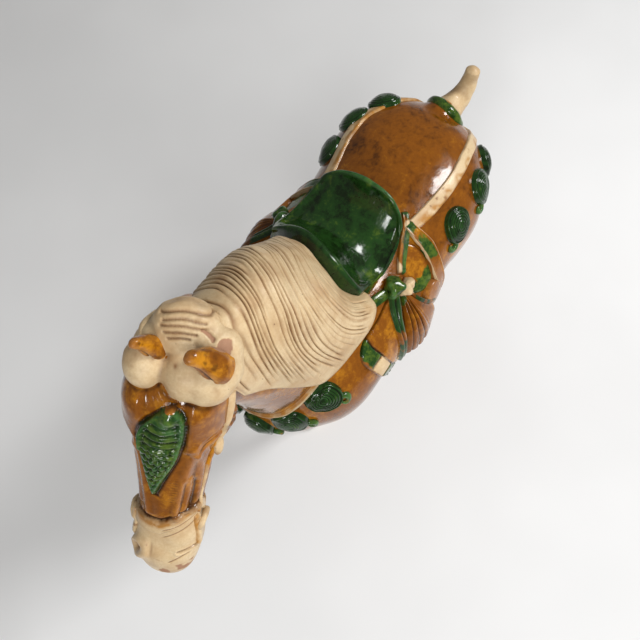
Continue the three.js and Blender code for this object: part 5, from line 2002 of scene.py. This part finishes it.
class GLAZEDHORSE_OT_stage(bpy.types.Operator):
    """Pale floor, window light, soft surroundings and the camera"""

    bl_idname = "glazedhorse.stage"
    bl_label = "Floor, Light and Camera"

    def execute(self, context):
        scene = bpy.context.scene
        half = FLOOR_SIZE / 2
        mesh = bpy.data.meshes.new("floor")
        corners = [(-half, -half, 0), (half, -half, 0), (half, half, 0), (-half, half, 0)]
        mesh.from_pydata(corners, [], [(0, 1, 2, 3)])
        floor = placed("floor", mesh)
        mesh.materials.append(material_of("pale_floor", pale_floor))

        for name, (azimuth, height, distance, size, power) in LIGHTS.items():
            azimuth, height = math.radians(azimuth), math.radians(height)
            flat = math.cos(height)
            toward = Vector((flat * math.cos(azimuth), flat * math.sin(azimuth), math.sin(height)))
            data = bpy.data.lights.new(name, "AREA")
            data.shape = "RECTANGLE"
            data.size, data.size_y = size
            data.energy = power
            lamp = placed(name, data)
            lamp.visible_glossy = name != "sky"
            lamp.location = Vector(LIT_PLACE) + toward * distance
            lamp.rotation_euler = toward.to_track_quat("Z", "Y").to_euler()

        world = bpy.data.worlds.new("soft_room")
        world.use_nodes = True
        background = world.node_tree.nodes["Background"]
        background.inputs["Color"].default_value = ROOM_COLOUR
        background.inputs["Strength"].default_value = ROOM_LIGHT
        scene.world = world
        scene.view_settings.view_transform = "Standard"

        camera = placed("camera", bpy.data.cameras.new("camera"))
        columns = [Vector(c) for c in (CAMERA_RIGHT, CAMERA_UP, CAMERA_BACK)]
        turn = Matrix([[c[i] for c in columns] for i in range(3)]).to_4x4()
        camera.matrix_world = Matrix.Translation(Vector(CAMERA_PLACE) * MM) @ turn
        camera.data.sensor_width = SENSOR
        camera.data.lens = FOCAL_PIXELS / PHOTO_PIXELS * SENSOR
        camera.data.clip_start = CLIP_START
        scene.camera = camera
        return {"FINISHED"}


PIECES = [
    GLAZEDHORSE_OT_body, GLAZEDHORSE_OT_head, GLAZEDHORSE_OT_ears, GLAZEDHORSE_OT_hair,
    GLAZEDHORSE_OT_saddle, GLAZEDHORSE_OT_cloth, GLAZEDHORSE_OT_straps, GLAZEDHORSE_OT_medallions,
    GLAZEDHORSE_OT_tail, GLAZEDHORSE_OT_plinth, GLAZEDHORSE_OT_stage,
]


class GLAZEDHORSE_PT_panel(bpy.types.Panel):
    """Sidebar list of the pieces, sizes and colours"""

    bl_idname = "GLAZEDHORSE_PT_panel"
    bl_label = "Glazed Horse"
    bl_space_type = "VIEW_3D"
    bl_region_type = "UI"
    bl_category = "Horse"

    def draw(self, context):
        for settings in (context.scene.glazed_horse_sizes, context.scene.glazed_horse_colours):
            for key in settings.__annotations__:
                self.layout.prop(settings, key)
        for operator in PIECES:
            self.layout.operator(operator.bl_idname)


CLASSES = [GlazedHorseSizes, GlazedHorseColours, *PIECES, GLAZEDHORSE_PT_panel]


def register():
    for cls in CLASSES:
        bpy.utils.register_class(cls)
    bpy.types.Scene.glazed_horse_sizes = bpy.props.PointerProperty(type=GlazedHorseSizes)
    bpy.types.Scene.glazed_horse_colours = bpy.props.PointerProperty(type=GlazedHorseColours)


def unregister():
    del bpy.types.Scene.glazed_horse_sizes
    del bpy.types.Scene.glazed_horse_colours
    for cls in reversed(CLASSES):
        bpy.utils.unregister_class(cls)


def main():
    register()
    for operator in PIECES:
        family, name = operator.bl_idname.split(".")
        getattr(getattr(bpy.ops, family), name)()


if __name__ == "__main__":
    main()
